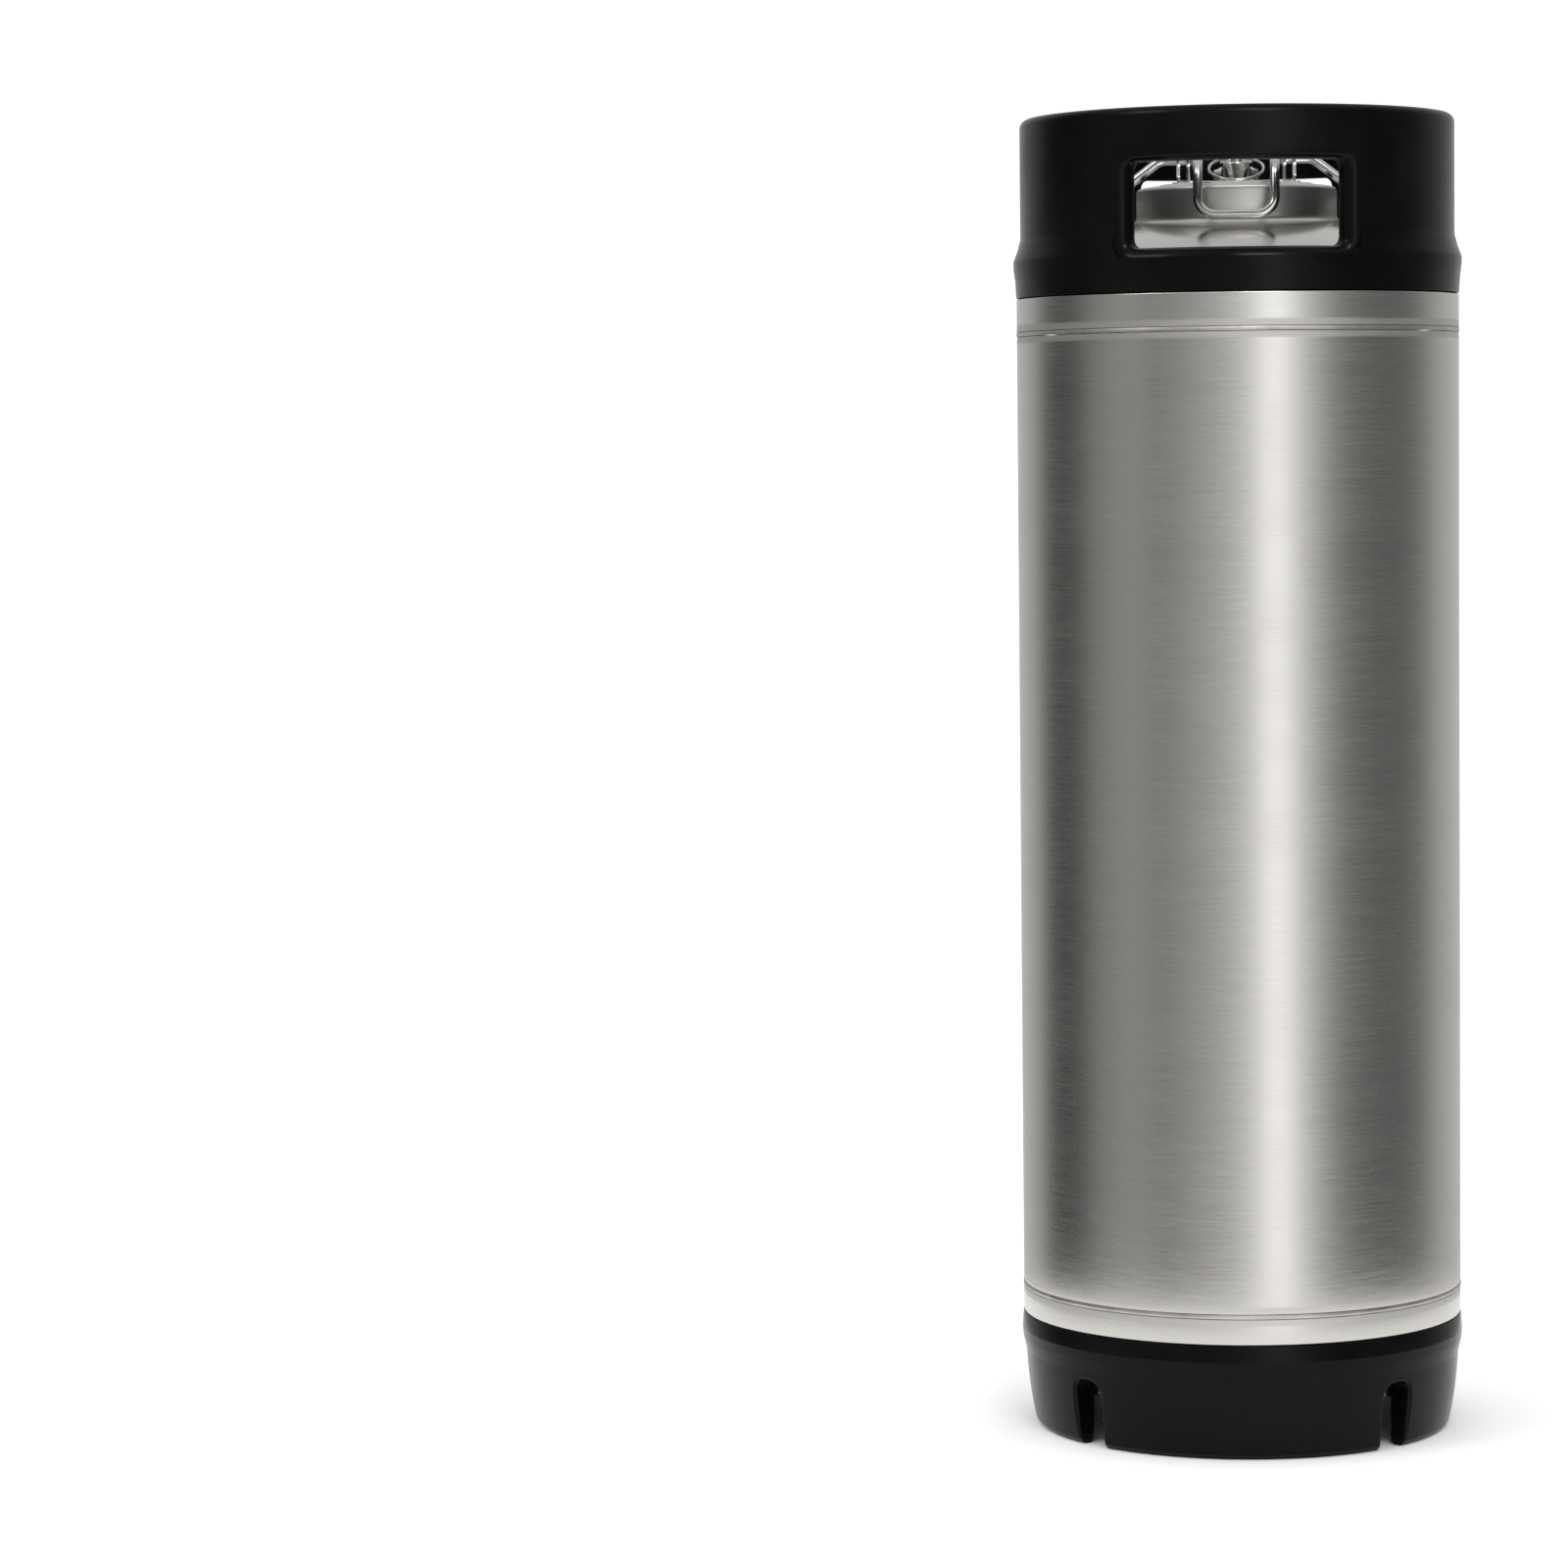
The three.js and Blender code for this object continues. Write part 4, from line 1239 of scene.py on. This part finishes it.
@dataclass
class FlaredWindow:
    """A tool that cuts a rounded window through a curved wall and rolls its lips outwards.

    Its outline lies round the keg (arc length, height), and is laid round the wall layer by layer.
    Where the wall leans outwards with height, the outer layers lean with it.
    """

    outline: Sequence[tuple[float, float]]
    corner: float
    bend_radius: float
    inner: float
    outer: float
    flare: float
    inner_flare: float = 1.5 * MM
    beyond: float = 4.5 * MM
    steps: int = 6
    lean: float = 0.0
    lean_from: float = 0.0

    def layers(self) -> list[tuple[float, float]]:
        """Distances from the axis, each with how far the outline has grown there."""
        depth = self.flare
        quarter = [math.radians(90 * k / self.steps) for k in range(self.steps + 1)]
        inside = [
            (self.inner + self.inner_flare * (1 - math.cos(a)), self.inner_flare * (1 - math.sin(a)))
            for a in quarter
        ]
        outside = [
            (self.outer - depth * (1 - math.sin(a)), depth * (1 - math.cos(a))) for a in quarter
        ]
        first = (self.inner - self.beyond, self.inner_flare)
        last = (self.outer + self.beyond, depth)
        return [first, *inside, *outside, last]

    def grown(self, amount: float) -> list[Vector]:
        """The outline moved outwards, as points of arc length, 0 and height."""
        middle = sum((Vector((s, 0, z)) for s, z in self.outline), Vector()) / len(self.outline)
        corners = []
        for s, z in self.outline:
            side = math.copysign(amount, s - middle.x)
            rise = math.copysign(amount, z - middle.z)
            corners.append(Corner(s + side, z + rise, self.corner + amount))
        return rounded_outline(corners, True, 8)

    def wrapped(self, distance: float, growth: float) -> list[Vector]:
        """The outline grown and laid round the axis at a distance from it."""
        lean = self.lean if distance > (self.inner + self.outer) / 2 else 0.0
        points = []
        for point in self.dense(self.grown(growth)):
            angle = point.x / self.bend_radius
            out = distance + lean * (point.z - self.lean_from)
            points.append(Vector((out * math.cos(angle), out * math.sin(angle), point.z)))
        return points

    def solid(self, facing: float) -> Mesh:
        """Build the tool.

        Args:
            facing: the azimuth in degrees that it faces.

        Returns:
            Its closed mesh, with flat ends well clear of the wall.
        """
        rings = [self.wrapped(*layer) for layer in self.layers()]
        rings.insert(0, [Vector((self.inner - 30 * MM, p.y, p.z)) for p in rings[0]])
        rings.append([Vector((self.outer + 12 * MM, p.y, p.z)) for p in rings[-1]])
        bm = bmesh.new()
        ring = [bm.verts.new(point) for point in rings[0]]
        for pair in zip(ring, ring[1:] + ring[:1]):
            bm.edges.new(pair)
        first = ring
        for points in rings[1:]:
            made = set(bmesh.ops.extrude_edge_only(bm, edges=edges_of(ring))["geom"])
            ring = [next(e.other_vert(v) for e in v.link_edges if e.other_vert(v) in made) for v in ring]
            for vert, point in zip(ring, points):
                vert.co = point
        for rim in (first, ring):
            bmesh.ops.triangle_fill(bm, use_beauty=True, edges=edges_of(rim))
        bmesh.ops.recalc_face_normals(bm, faces=bm.faces)
        return turned_about(bm, "Z", facing)

    @staticmethod
    def dense(points: Sequence[Vector], parts: int = 14) -> list[Vector]:
        """Divide the outline's long runs so that they follow the wall's curve."""
        result = []
        for here, ahead in zip(points, [*points[1:], points[0]]):
            cuts = parts if (ahead - here).length > 9 * MM else 1
            result += [here.lerp(ahead, k / cuts) for k in range(cuts)]
        return result


@dataclass
class HandleRing:
    """The top ring: an upright wall on a wider skirt, with a hand hole front and rear."""

    node: str = "handle_ring"
    steps: int = 240
    window: FlaredWindow = field(
        default_factory=lambda: FlaredWindow(
            outline=upright_box(55 * MM, 577.6 * MM, 618.2 * MM),
            corner=4.6 * MM,
            bend_radius=106 * MM,
            inner=96 * MM,
            outer=106.15 * MM,
            flare=6.4 * MM,
        )
    )

    def build(self) -> None:
        """Turn the ring and open both hand holes."""
        rows = range(590, 638, 4)
        bm = turned(
            mm_corners(
                (108.15, 556.5, 0.4), (108.6, 565.0), (109.4, 571.0), (109.5, 574.6, 3.0),
                (107.4, 580.2, 5.0),
                (106.0, 585.5, 5.0), *((106.0, z) for z in rows), (106.0, 644.0, 4.4), (96.0, 644.0, 3.0),
                *((96.0, z) for z in reversed(rows)), (96.0, 584.0), (96.0, 577.0, 1.5),
                (101.4, 572.2, 4.0), (105.6, 564.8, 4.0), (106.6, 557.9, 0.3),
            ),
            steps=self.steps,
        )
        piece = made_object("handle_ring_moulding", bm, 30.0)
        for facing in (-90.0, 90.0):
            carve(piece, self.window.solid(facing))
        present(piece, Body.KEG, BLACK_RUBBER, [self.node])


@dataclass
class BaseBoot:
    """The base boot: a tapered ring with a banded top and four drain notches."""

    node: str = "base_boot"
    steps: int = 192
    notch: FlaredWindow = field(
        default_factory=lambda: FlaredWindow(
            outline=upright_box(8.5 * MM, -12 * MM, 33 * MM),
            corner=7.0 * MM,
            bend_radius=105 * MM,
            inner=94 * MM,
            outer=105.3 * MM,
            flare=1.6 * MM,
            inner_flare=0.8 * MM,
            steps=4,
            lean=0.118,
            lean_from=22 * MM,
        )
    )

    def build(self) -> None:
        """Turn the boot and open its notches."""
        bm = turned(
            mm_corners(
                (96.0, 0, 0.6), (99.8, 0, 1.2), (102.4, 2.4, 2.4), (103.7, 8.5), (105.2, 18), (106.3, 28),
                (107.0, 37.2, 6.0), (108.5, 43.4, 4.0), (108.9, 48, 2.5), (108.1, 56.4, 0.4),
                (106.6, 55.2, 0.2), (106.0, 49.2, 3.0), (102.0, 41.8, 4.0), (94, 35.2, 1.2), (94, 2.6, 1.2),
            ),
            steps=self.steps,
        )
        piece = made_object("base_boot_moulding", bm, 30.0)
        for facing in (45.0, 135.0, -135.0, -45.0):
            carve(piece, self.notch.solid(facing))
        present(piece, Body.KEG, BLACK_RUBBER, [self.node])


# ---- Posts ----------------------------------------------------------------------------------


@dataclass
class Post:
    """A ball-lock post with its poppet, standing on its hexagon."""

    prefix: str
    body: Body
    valve: Body
    flats: float = 22.2 * MM

    def build(self) -> None:
        """Make the post, its seal ring and its poppet."""
        low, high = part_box(self.prefix + "_post")
        self.centre = Vector(((low.x + high.x) / 2, (low.y + high.y) / 2, low.z))
        finish = TurnedSteel(self.prefix + "_post_turned_steel", tuple(self.centre), rough=0.17)
        self.shell(finish)
        self.seal_ring()
        self.poppet(finish)

    def shell(self, finish: TurnedSteel) -> None:
        """Turn the post and join its hexagon to it."""
        bm = turned(
            mm_corners(
                (9.6, 0, 0.2), (10.6, 0, 0.3), (10.6, 8.5, 0.3), (8.4, 9.6, 0.5),
                (8.4, 12.0, 0.4), (7.4, 13.4, 0.8),
                (7.4, 16.8, 0.8), (8.5, 18.6, 0.5), (8.5, 20.4, 0.15), (7.0, 20.4, 0.2), (7.0, 23.2, 0.2),
                (8.5, 23.2, 0.15), (8.5, 25.4, 0.8), (7.4, 27.5, 0.5), (4.1, 27.5, 0.4),
                (3.4, 26.6, 0.3), (3.4, 24.4),
                (5.8, 22.0), (5.8, 9.2), (9.6, 8.8),
            ),
            steps=72,
        )
        piece = made_object(self.prefix + "_post_body", moved(bm, self.centre), 30.0)
        nut = hexagon(self.flats, 0.6 * MM, 8.5 * MM, 0.9 * MM)
        collar = made_object("nut", nut)
        carve(collar, cylinder(10.0 * MM, -2 * MM, 12 * MM, 72))
        bm = bmesh.new()
        bm.from_mesh(collar.data)
        bpy.data.objects.remove(collar)
        carve(piece, moved(bm, self.centre), "UNION")
        present(piece, self.body, finish, [self.prefix + "_post"])

    def seal_ring(self) -> None:
        """Make the black ring that seals the coupler."""
        node = self.prefix + "_post_oring"
        low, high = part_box(node)
        section = 1.05 * MM
        middle = Vector((self.centre.x, self.centre.y, (low.z + high.z) / 2))
        bm = moved(torus(high.x - self.centre.x - section, section, 72, 14), middle)
        present(made_object(node + "_ring", bm), self.body, SEAL_RUBBER, [node])

    def poppet(self, finish: TurnedSteel) -> None:
        """Turn the poppet with its domed pin."""
        bm = turned(
            mm_corners(
                (0, 15.5), (2.6, 15.5, 0.3), (2.6, 17.5, 0.2), (5.2, 17.5, 0.3), (5.2, 19.0, 0.3),
                (1.8, 19.0, 0.2), (1.8, 26.7, 0.7), (0, 26.8),
            ),
            closed=False,
            steps=40,
        )
        name = self.prefix + "_poppet"
        piece = made_object(name + "_pin", moved(bm, self.centre), 30.0)
        present(piece, self.valve, finish, [name])


@dataclass
class Boss:
    """A threaded boss welded through the head."""

    prefix: str

    def build(self) -> None:
        """Turn the boss."""
        node = self.prefix + "_boss"
        low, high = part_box(node)
        centre = Vector(((low.x + high.x) / 2, 0, high.z - 6.8 * MM))
        threads = []
        for turn in range(4):
            foot = 0.9 + 1.4 * turn
            threads += [(9.2, foot), (8.7, foot + 0.45), (8.7, foot + 0.75), (9.2, foot + 1.2)]
        bm = turned(
            mm_corners(
                (4.6, -14), (10, -14, 0.4), (10, -3.2, 0.4), (12.3, -2.4, 0.5), (12.3, -0.3, 0.4),
                (9.2, -0.3),
                *threads, (9.2, 6.8, 0.4), (7.4, 6.8), (7.4, 4.7), (4.6, 4.7),
            ),
            steps=72,
        )
        piece = made_object(node + "_body", moved(bm, centre), 30.0)
        finish = TurnedSteel(node + "_turned_steel", tuple(centre), rough=0.24)
        present(piece, Body.KEG, finish, [node])


# ---- Lid ------------------------------------------------------------------------------------


@dataclass
class Lid:
    """The pressed oval lid with its seal and the ears that hold the bail."""

    top: float = 611.0 * MM
    sheet: float = 1.8 * MM
    island: float = 39.7 * MM
    flange: float = 46.5 * MM
    oval_stretch: float = 8.5 * MM
    post_y: float = 27.0 * MM
    valve_y: float = -3.0 * MM
    pivot: float = 623.5 * MM
    ear_x: float = 25.8 * MM

    def build(self) -> None:
        """Make the plate, the seal and both ears."""
        self.plate()
        self.seal()
        for name, side in (("right_ear", 1), ("left_ear", -1)):
            self.ear(name, side)

    def stretched(self, bm: Mesh) -> Mesh:
        """Draw a turned piece out into the lid's oval."""
        for vert in bm.verts:
            distance = math.hypot(vert.co.x, vert.co.y)
            if distance > 1e-6:
                vert.co.y += self.oval_stretch * vert.co.y / distance
        return bm

    def plate(self) -> None:
        """Press the plate: a crowned island inside a lower flange, bored for its fittings."""
        flange_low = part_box("lid_plate")[0].z
        flange_top = flange_low + self.sheet
        under = self.island - self.sheet
        outline = [
            Corner(0, self.top), Corner(0.55 * self.island, self.top),
            Corner(self.island, self.top, 2.6 * MM),
            Corner(self.island, flange_top, 0.8 * MM), Corner(self.flange, flange_top, 0.4 * MM),
            Corner(self.flange, flange_low, 0.4 * MM), Corner(under, flange_low, 0.6 * MM),
            Corner(under, self.top - self.sheet, 1.2 * MM), Corner(0.5 * under, self.top - self.sheet),
            Corner(0, self.top - self.sheet),
        ]
        piece = made_object("lid_pressing", self.stretched(turned(outline, closed=False, steps=144)))
        carve(piece, moved(cylinder(9.6 * MM, 590 * MM, 630 * MM), (0, self.post_y, 0)))
        carve(piece, moved(cylinder(7.0 * MM, 590 * MM, 630 * MM), (0, self.valve_y, 0)))
        present(piece, Body.LID, LID_STEEL, ["lid_plate"])

    def seal(self) -> None:
        """Lay the oval seal on the flange."""
        low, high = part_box("lid_seal")
        section = (high.z - low.z) / 2
        bm = moved(torus(high.x - section, section, 144, 20), (0, 0, low.z + section))
        piece = made_object("lid_seal_ring", self.stretched(bm))
        present(piece, Body.LID, SEAL_RUBBER, ["lid_seal"])

    def ear(self, name: str, side: int) -> None:
        """Fold one ear from sheet and weld it to the lid.

        Args:
            name: the plain solid that it stands for.
            side: 1 for the ear at +X and -1 for the other.
        """
        low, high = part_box(name)
        base, sheet, half = low.z, 1.6 * MM, 12.5 * MM
        channel = [
            Corner(-3.2 * MM, high.z + MM), Corner(-3.2 * MM, base, 1.9 * MM),
            Corner(3.2 * MM, base, 1.9 * MM),
            Corner(3.2 * MM, high.z + MM), Corner(1.6 * MM, high.z + MM),
            Corner(1.6 * MM, base + sheet, 0.5 * MM), Corner(-1.6 * MM, base + sheet, 0.5 * MM),
            Corner(-1.6 * MM, high.z + MM),
        ]
        outline = [p + Vector((0, -half, 0)) for p in rounded_outline(channel, True, 4)]
        piece = made_object(name + "_bracket", plate(outline, Vector((0, 2 * half, 0))))
        crest = self.pivot + 4.8 * MM
        silhouette = [
            Corner(-half, base - MM), Corner(half, base - MM), Corner(half, base + 4 * MM, 1.5 * MM),
            Corner(4.8 * MM, base + 8.5 * MM, 4 * MM), Corner(4.8 * MM, crest, 4.7 * MM),
            Corner(-4.8 * MM, crest, 4.7 * MM), Corner(-4.8 * MM, base + 8.5 * MM, 4 * MM),
            Corner(-half, base + 4 * MM, 1.5 * MM),
        ]
        sides = [Vector((-10 * MM, p.x, p.z)) for p in rounded_outline(silhouette, True, 8)]
        carve(piece, plate(sides, Vector((20 * MM, 0, 0))), "INTERSECT")
        for end in (-1, 1):
            spare = sorted((end * 5.5 * MM, end * 14 * MM))
            carve(piece, block((-5 * MM, spare[0], base + 1.7 * MM), (0.5 * MM, spare[1], crest + MM)))
        foot = block((-5.2 * MM, -half, base), (5.2 * MM, half, base + 0.9 * MM))
        carve(piece, foot, "UNION")
        bore = turned_about(cylinder(2.6 * MM, -12 * MM, 12 * MM, 40), "Y", 90)
        carve(piece, moved(bore, (0, 0, self.pivot)))
        soften(piece, 0.22 * MM, 2)
        facing = 0.0 if side > 0 else math.pi
        turn = Matrix.Translation((side * self.ear_x, 0, 0)) @ Matrix.Rotation(facing, 4, "Z")
        piece.data.transform(turn)
        present(piece, Body.LID, LID_STEEL, [name])


@dataclass
class ReliefValve:
    """The relief valve in the lid's middle, lifted by its pull ring."""

    lid_top: float = 611.0 * MM
    y: float = -3.0 * MM
    hole: float = 13.4 * MM
    ring_radius: float = 13.3 * MM
    ring_wire: float = 0.7 * MM
    droop: float = 27.0

    def build(self) -> None:
        """Make the valve's body, stem and ring."""
        self.centre = Vector((0, self.y, self.lid_top))
        finish = TurnedSteel("relief_valve_turned_steel", tuple(self.centre), rough=0.18)
        self.body(finish)
        self.stem(finish)
        self.ring()

    def body(self, finish: TurnedSteel) -> None:
        """Turn the body and mill its slot."""
        bm = turned(
            mm_corners(
                (2.2, -10.5), (6.7, -10.5, 0.3), (6.7, 0.3), (9, 0.3, 0.3), (9, 2.3, 0.5), (7.3, 2.7, 0.3),
                (7.3, 11, 0.9), (3.1, 11, 0.3), (3.1, 5.5), (5.3, 5.5), (5.3, -6.2), (2.2, -6.2),
            ),
            steps=72,
        )
        piece = made_object("relief_valve_housing", bm, 30.0)
        carve(piece, block((-12 * MM, -2.8 * MM, 7.8 * MM), (12 * MM, 2.8 * MM, 14 * MM)))
        soften(piece, 0.15 * MM, 2)
        piece.data.transform(Matrix.Translation(self.centre))
        present(piece, Body.LID, finish, ["relief_valve_body"])

    def stem(self, finish: TurnedSteel) -> None:
        """Turn the stem and drill its cross hole."""
        bm = turned(
            mm_corners(
                (0, -3.9), (4.9, -3.9, 0.2), (4.9, -2.4, 0.2), (2.7, -2.4), (2.7, 16.2, 0.8), (0, 16.2),
            ),
            closed=False,
            steps=48,
        )
        piece = made_object("relief_valve_pin", bm, 30.0)
        cross = turned_about(cylinder(1.25 * MM, -6 * MM, 6 * MM, 32), "Y", 90)
        carve(piece, moved(cross, (0, 0, self.hole)))
        soften(piece, 0.12 * MM, 2)
        piece.data.transform(Matrix.Translation(self.centre))
        present(piece, Body.PLUNGER, finish, ["relief_valve_stem"])

    def ring(self) -> None:
        """Hang the pull ring in the cross hole, lying forward."""
        bm = moved(torus(self.ring_radius, self.ring_wire, 96, 12), (0, -self.ring_radius, 0))
        turned_about(bm, "X", self.droop)
        moved(bm, self.centre + Vector((0, 0, self.hole)))
        piece = made_object("relief_pull_ring", bm)
        present(piece, Body.PULL_RING, WIRE_STEEL, ["relief_valve_ring"])


# ---- Bail -----------------------------------------------------------------------------------


@dataclass
class Bail:
    """The bent wire that clamps the lid, with a rubber sleeve on each foot."""

    wire: float = 2.3 * MM
    pivot: float = 623.5 * MM
    foot_x: float = 57.0 * MM
    handle_x: float = 18.4 * MM

    def build(self) -> None:
        """Bend the wire and sleeve its feet."""
        half = [
            Bend((self.foot_x, 0, 595 * MM)),
            Bend((self.foot_x, 0, 608.4 * MM), 7.0 * MM),
            Bend((37 * MM, 0, self.pivot), 8.0 * MM),
            Bend((self.handle_x, 0, self.pivot), 4.6 * MM),
            Bend((self.handle_x, -57 * MM, 620.5 * MM), 11.0 * MM),
            Bend((self.handle_x, -64.5 * MM, 594 * MM), 8.5 * MM),
        ]
        mirrored = [Bend((-b.at[0], b.at[1], b.at[2]), b.radius) for b in reversed(half)]
        piece = made_object("bail_bent_wire", bent_wire([*half, *mirrored], self.wire, 20, 10))
        present(piece, Body.BAIL, WIRE_STEEL, ["bail_wire"])
        for name, side in (("right_foot_boot", 1), ("left_foot_boot", -1)):
            self.sleeve(name, side)

    def sleeve(self, name: str, side: int) -> None:
        """Mould the sleeve of one foot."""
        low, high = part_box(name)
        bore = self.wire + 0.3 * MM
        bm = turned(
            [
                Corner(0, low.z), Corner(3.2 * MM, low.z, 0.8 * MM),
                Corner(4.8 * MM, low.z + 1.8 * MM, 1.0 * MM),
                Corner(4.7 * MM, high.z, 0.8 * MM), Corner(bore, high.z, 0.4 * MM),
                Corner(bore, 594.4 * MM), Corner(0, 594.4 * MM),
            ],
            closed=False,
            steps=48,
        )
        piece = made_object(name + "_sleeve", moved(bm, (side * self.foot_x, 0, 0)))
        present(piece, Body.BAIL, GREY_RUBBER, [name])


# ---- Carbonation line and the hidden pieces -------------------------------------------------


@dataclass
class CarbonationLine:
    """The hose under the lid. Its clamps and its stone, named in riders, keep their plain solids."""

    radius: float = 5.25 * MM
    route: Sequence[tuple[float, float, float]] = (
        (0, 27, 600.7), (0, 27, 580), (0.6, 27.4, 550), (2.4, 28.6, 520), (5, 30.4, 490), (7.8, 32.3, 460),
        (10.2, 34, 430), (11.6, 35, 400), (12, 35.2, 370), (11.2, 34.6, 340), (9.4, 33.2, 310),
        (6.8, 31.4, 280), (4, 29.4, 250), (1.6, 27.8, 222), (0.2, 27, 198), (0, 27, 181),
    )
    riders: Sequence[str] = ("upper_hose_clamp", "lower_hose_clamp", "stone_barb", "diffusion_stone")

    def build(self, nodes: dict[str, Piece]) -> None:
        """Args:
            nodes: the plain solids by name; not used.
        """
        points = [Vector(point) * MM for point in self.route]
        curve = bpy.data.curves.new("gas_hose_line", "CURVE")
        curve.dimensions = "3D"
        curve.resolution_u = 8
        curve.bevel_depth = self.radius
        curve.bevel_resolution = 5
        curve.use_fill_caps = True
        spline = curve.splines.new("BEZIER")
        spline.bezier_points.add(len(points) - 1)
        for knot, point in zip(spline.bezier_points, points):
            knot.co = point
            knot.handle_left_type = "AUTO"
            knot.handle_right_type = "AUTO"
        hose = bpy.data.objects.new("gas_hose_tube", curve)
        bpy.context.scene.collection.objects.link(hose)
        present(hose, Body.LID, VINYL, ["gas_hose"])


@dataclass
class Spring:
    """A coil spring, stored with the name of the joint that squeezes it against a fixed end."""

    node: str
    body: Body
    joint: str
    held_high: bool = False
    wire: float = 0.4 * MM
    turns: int = 4
    travel: float = 3.0 * MM

    def build(self) -> None:
        """Coil the wire and give the piece a mesh of its own."""
        low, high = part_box(self.node)
        middle = (low + high) / 2
        coil = (high.x - low.x) / 2 - self.wire
        length = high.z - low.z
        steps = self.turns * 32
        bm = bmesh.new()
        start = bmesh.ops.create_circle(bm, cap_ends=False, segments=12, radius=self.wire)["verts"]
        turned_about(bm, "X", 90)
        moved(bm, (coil, 0, 0))
        made = bmesh.ops.spin(
            bm, geom=start + edges_of(start), cent=(0, 0, 0), axis=(0, 0, 1), angle=FULL_TURN * self.turns,
            dvec=(0, 0, (length - 2 * self.wire) / steps), steps=steps, use_duplicate=False,
        )
        end = [item for item in made["geom_last"] if isinstance(item, Vert)]
        for rim in (start, end):
            bmesh.ops.edgeloop_fill(bm, edges=edges_of(rim))
        bmesh.ops.recalc_face_normals(bm, faces=bm.faces)
        moved(bm, (middle.x, middle.y, low.z + self.wire))
        piece = made_object(self.node + "_coil", bm)
        present(piece, self.body, WIRE_STEEL, [self.node])
        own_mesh(piece)


@dataclass
class HiddenPieces:
    """Pieces inside the keg that keep their plain shape and get a real finish."""

    finishes: dict[str, object] = field(
        default_factory=lambda: {
            Slot.TURNED.value: PLAIN_STEEL,
            Slot.SPRING.value: WIRE_STEEL,
            Slot.SEAL.value: SEAL_RUBBER,
            Slot.SINTERED.value: SINTERED,
            Slot.VINYL.value: VINYL,
            Slot.BRUSHED.value: BODY_STEEL,
            Slot.POLISHED.value: LID_STEEL,
            Slot.WELD.value: WELD,
            Slot.BLACK_RUBBER.value: BLACK_RUBBER,
            Slot.GREY_RUBBER.value: GREY_RUBBER,
        }
    )

    def build(self, frame: dict) -> None:
        """Give every plain solid the finish of its slot.
        """
        slots = {part["node"]: part["material_slot"] for part in frame["record"]["subparts"]}
        for name, node in frame["nodes"].items():
            material = PAINTS.get(self.finishes[slots[name]])
            node.data.materials.clear()
            node.data.materials.append(material)


# ---- The whole keg --------------------------------------------------------------------------


def main() -> None:
    """Load the frame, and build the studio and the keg."""
    logging.basicConfig(level=logging.INFO, format="%(message)s")
    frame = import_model()
    Studio().build()
    CarbonationLine().build(frame["nodes"])
    Vessel().build()
    HandleRing().build()
    BaseBoot().build()
    Post("gas", Body.KEG, Body.GAS_VALVE).build()
    Post("liquid", Body.KEG, Body.LIQUID_VALVE).build()
    Post("lid", Body.LID, Body.LID_VALVE).build()
    Boss("gas").build()
    Boss("liquid").build()
    Lid().build()
    ReliefValve().build()
    Bail().build()
    Spring("gas_poppet_spring", Body.KEG, "gas_poppet_press").build()
    Spring("liquid_poppet_spring", Body.KEG, "liquid_poppet_press").build()
    Spring("lid_poppet_spring", Body.LID, "lid_poppet_press").build()
    Spring("relief_valve_spring", Body.LID, "relief_valve_lift", held_high=True, wire=0.45 * MM).build()
    HiddenPieces().build(frame)


if __name__ == "__main__":
    main()
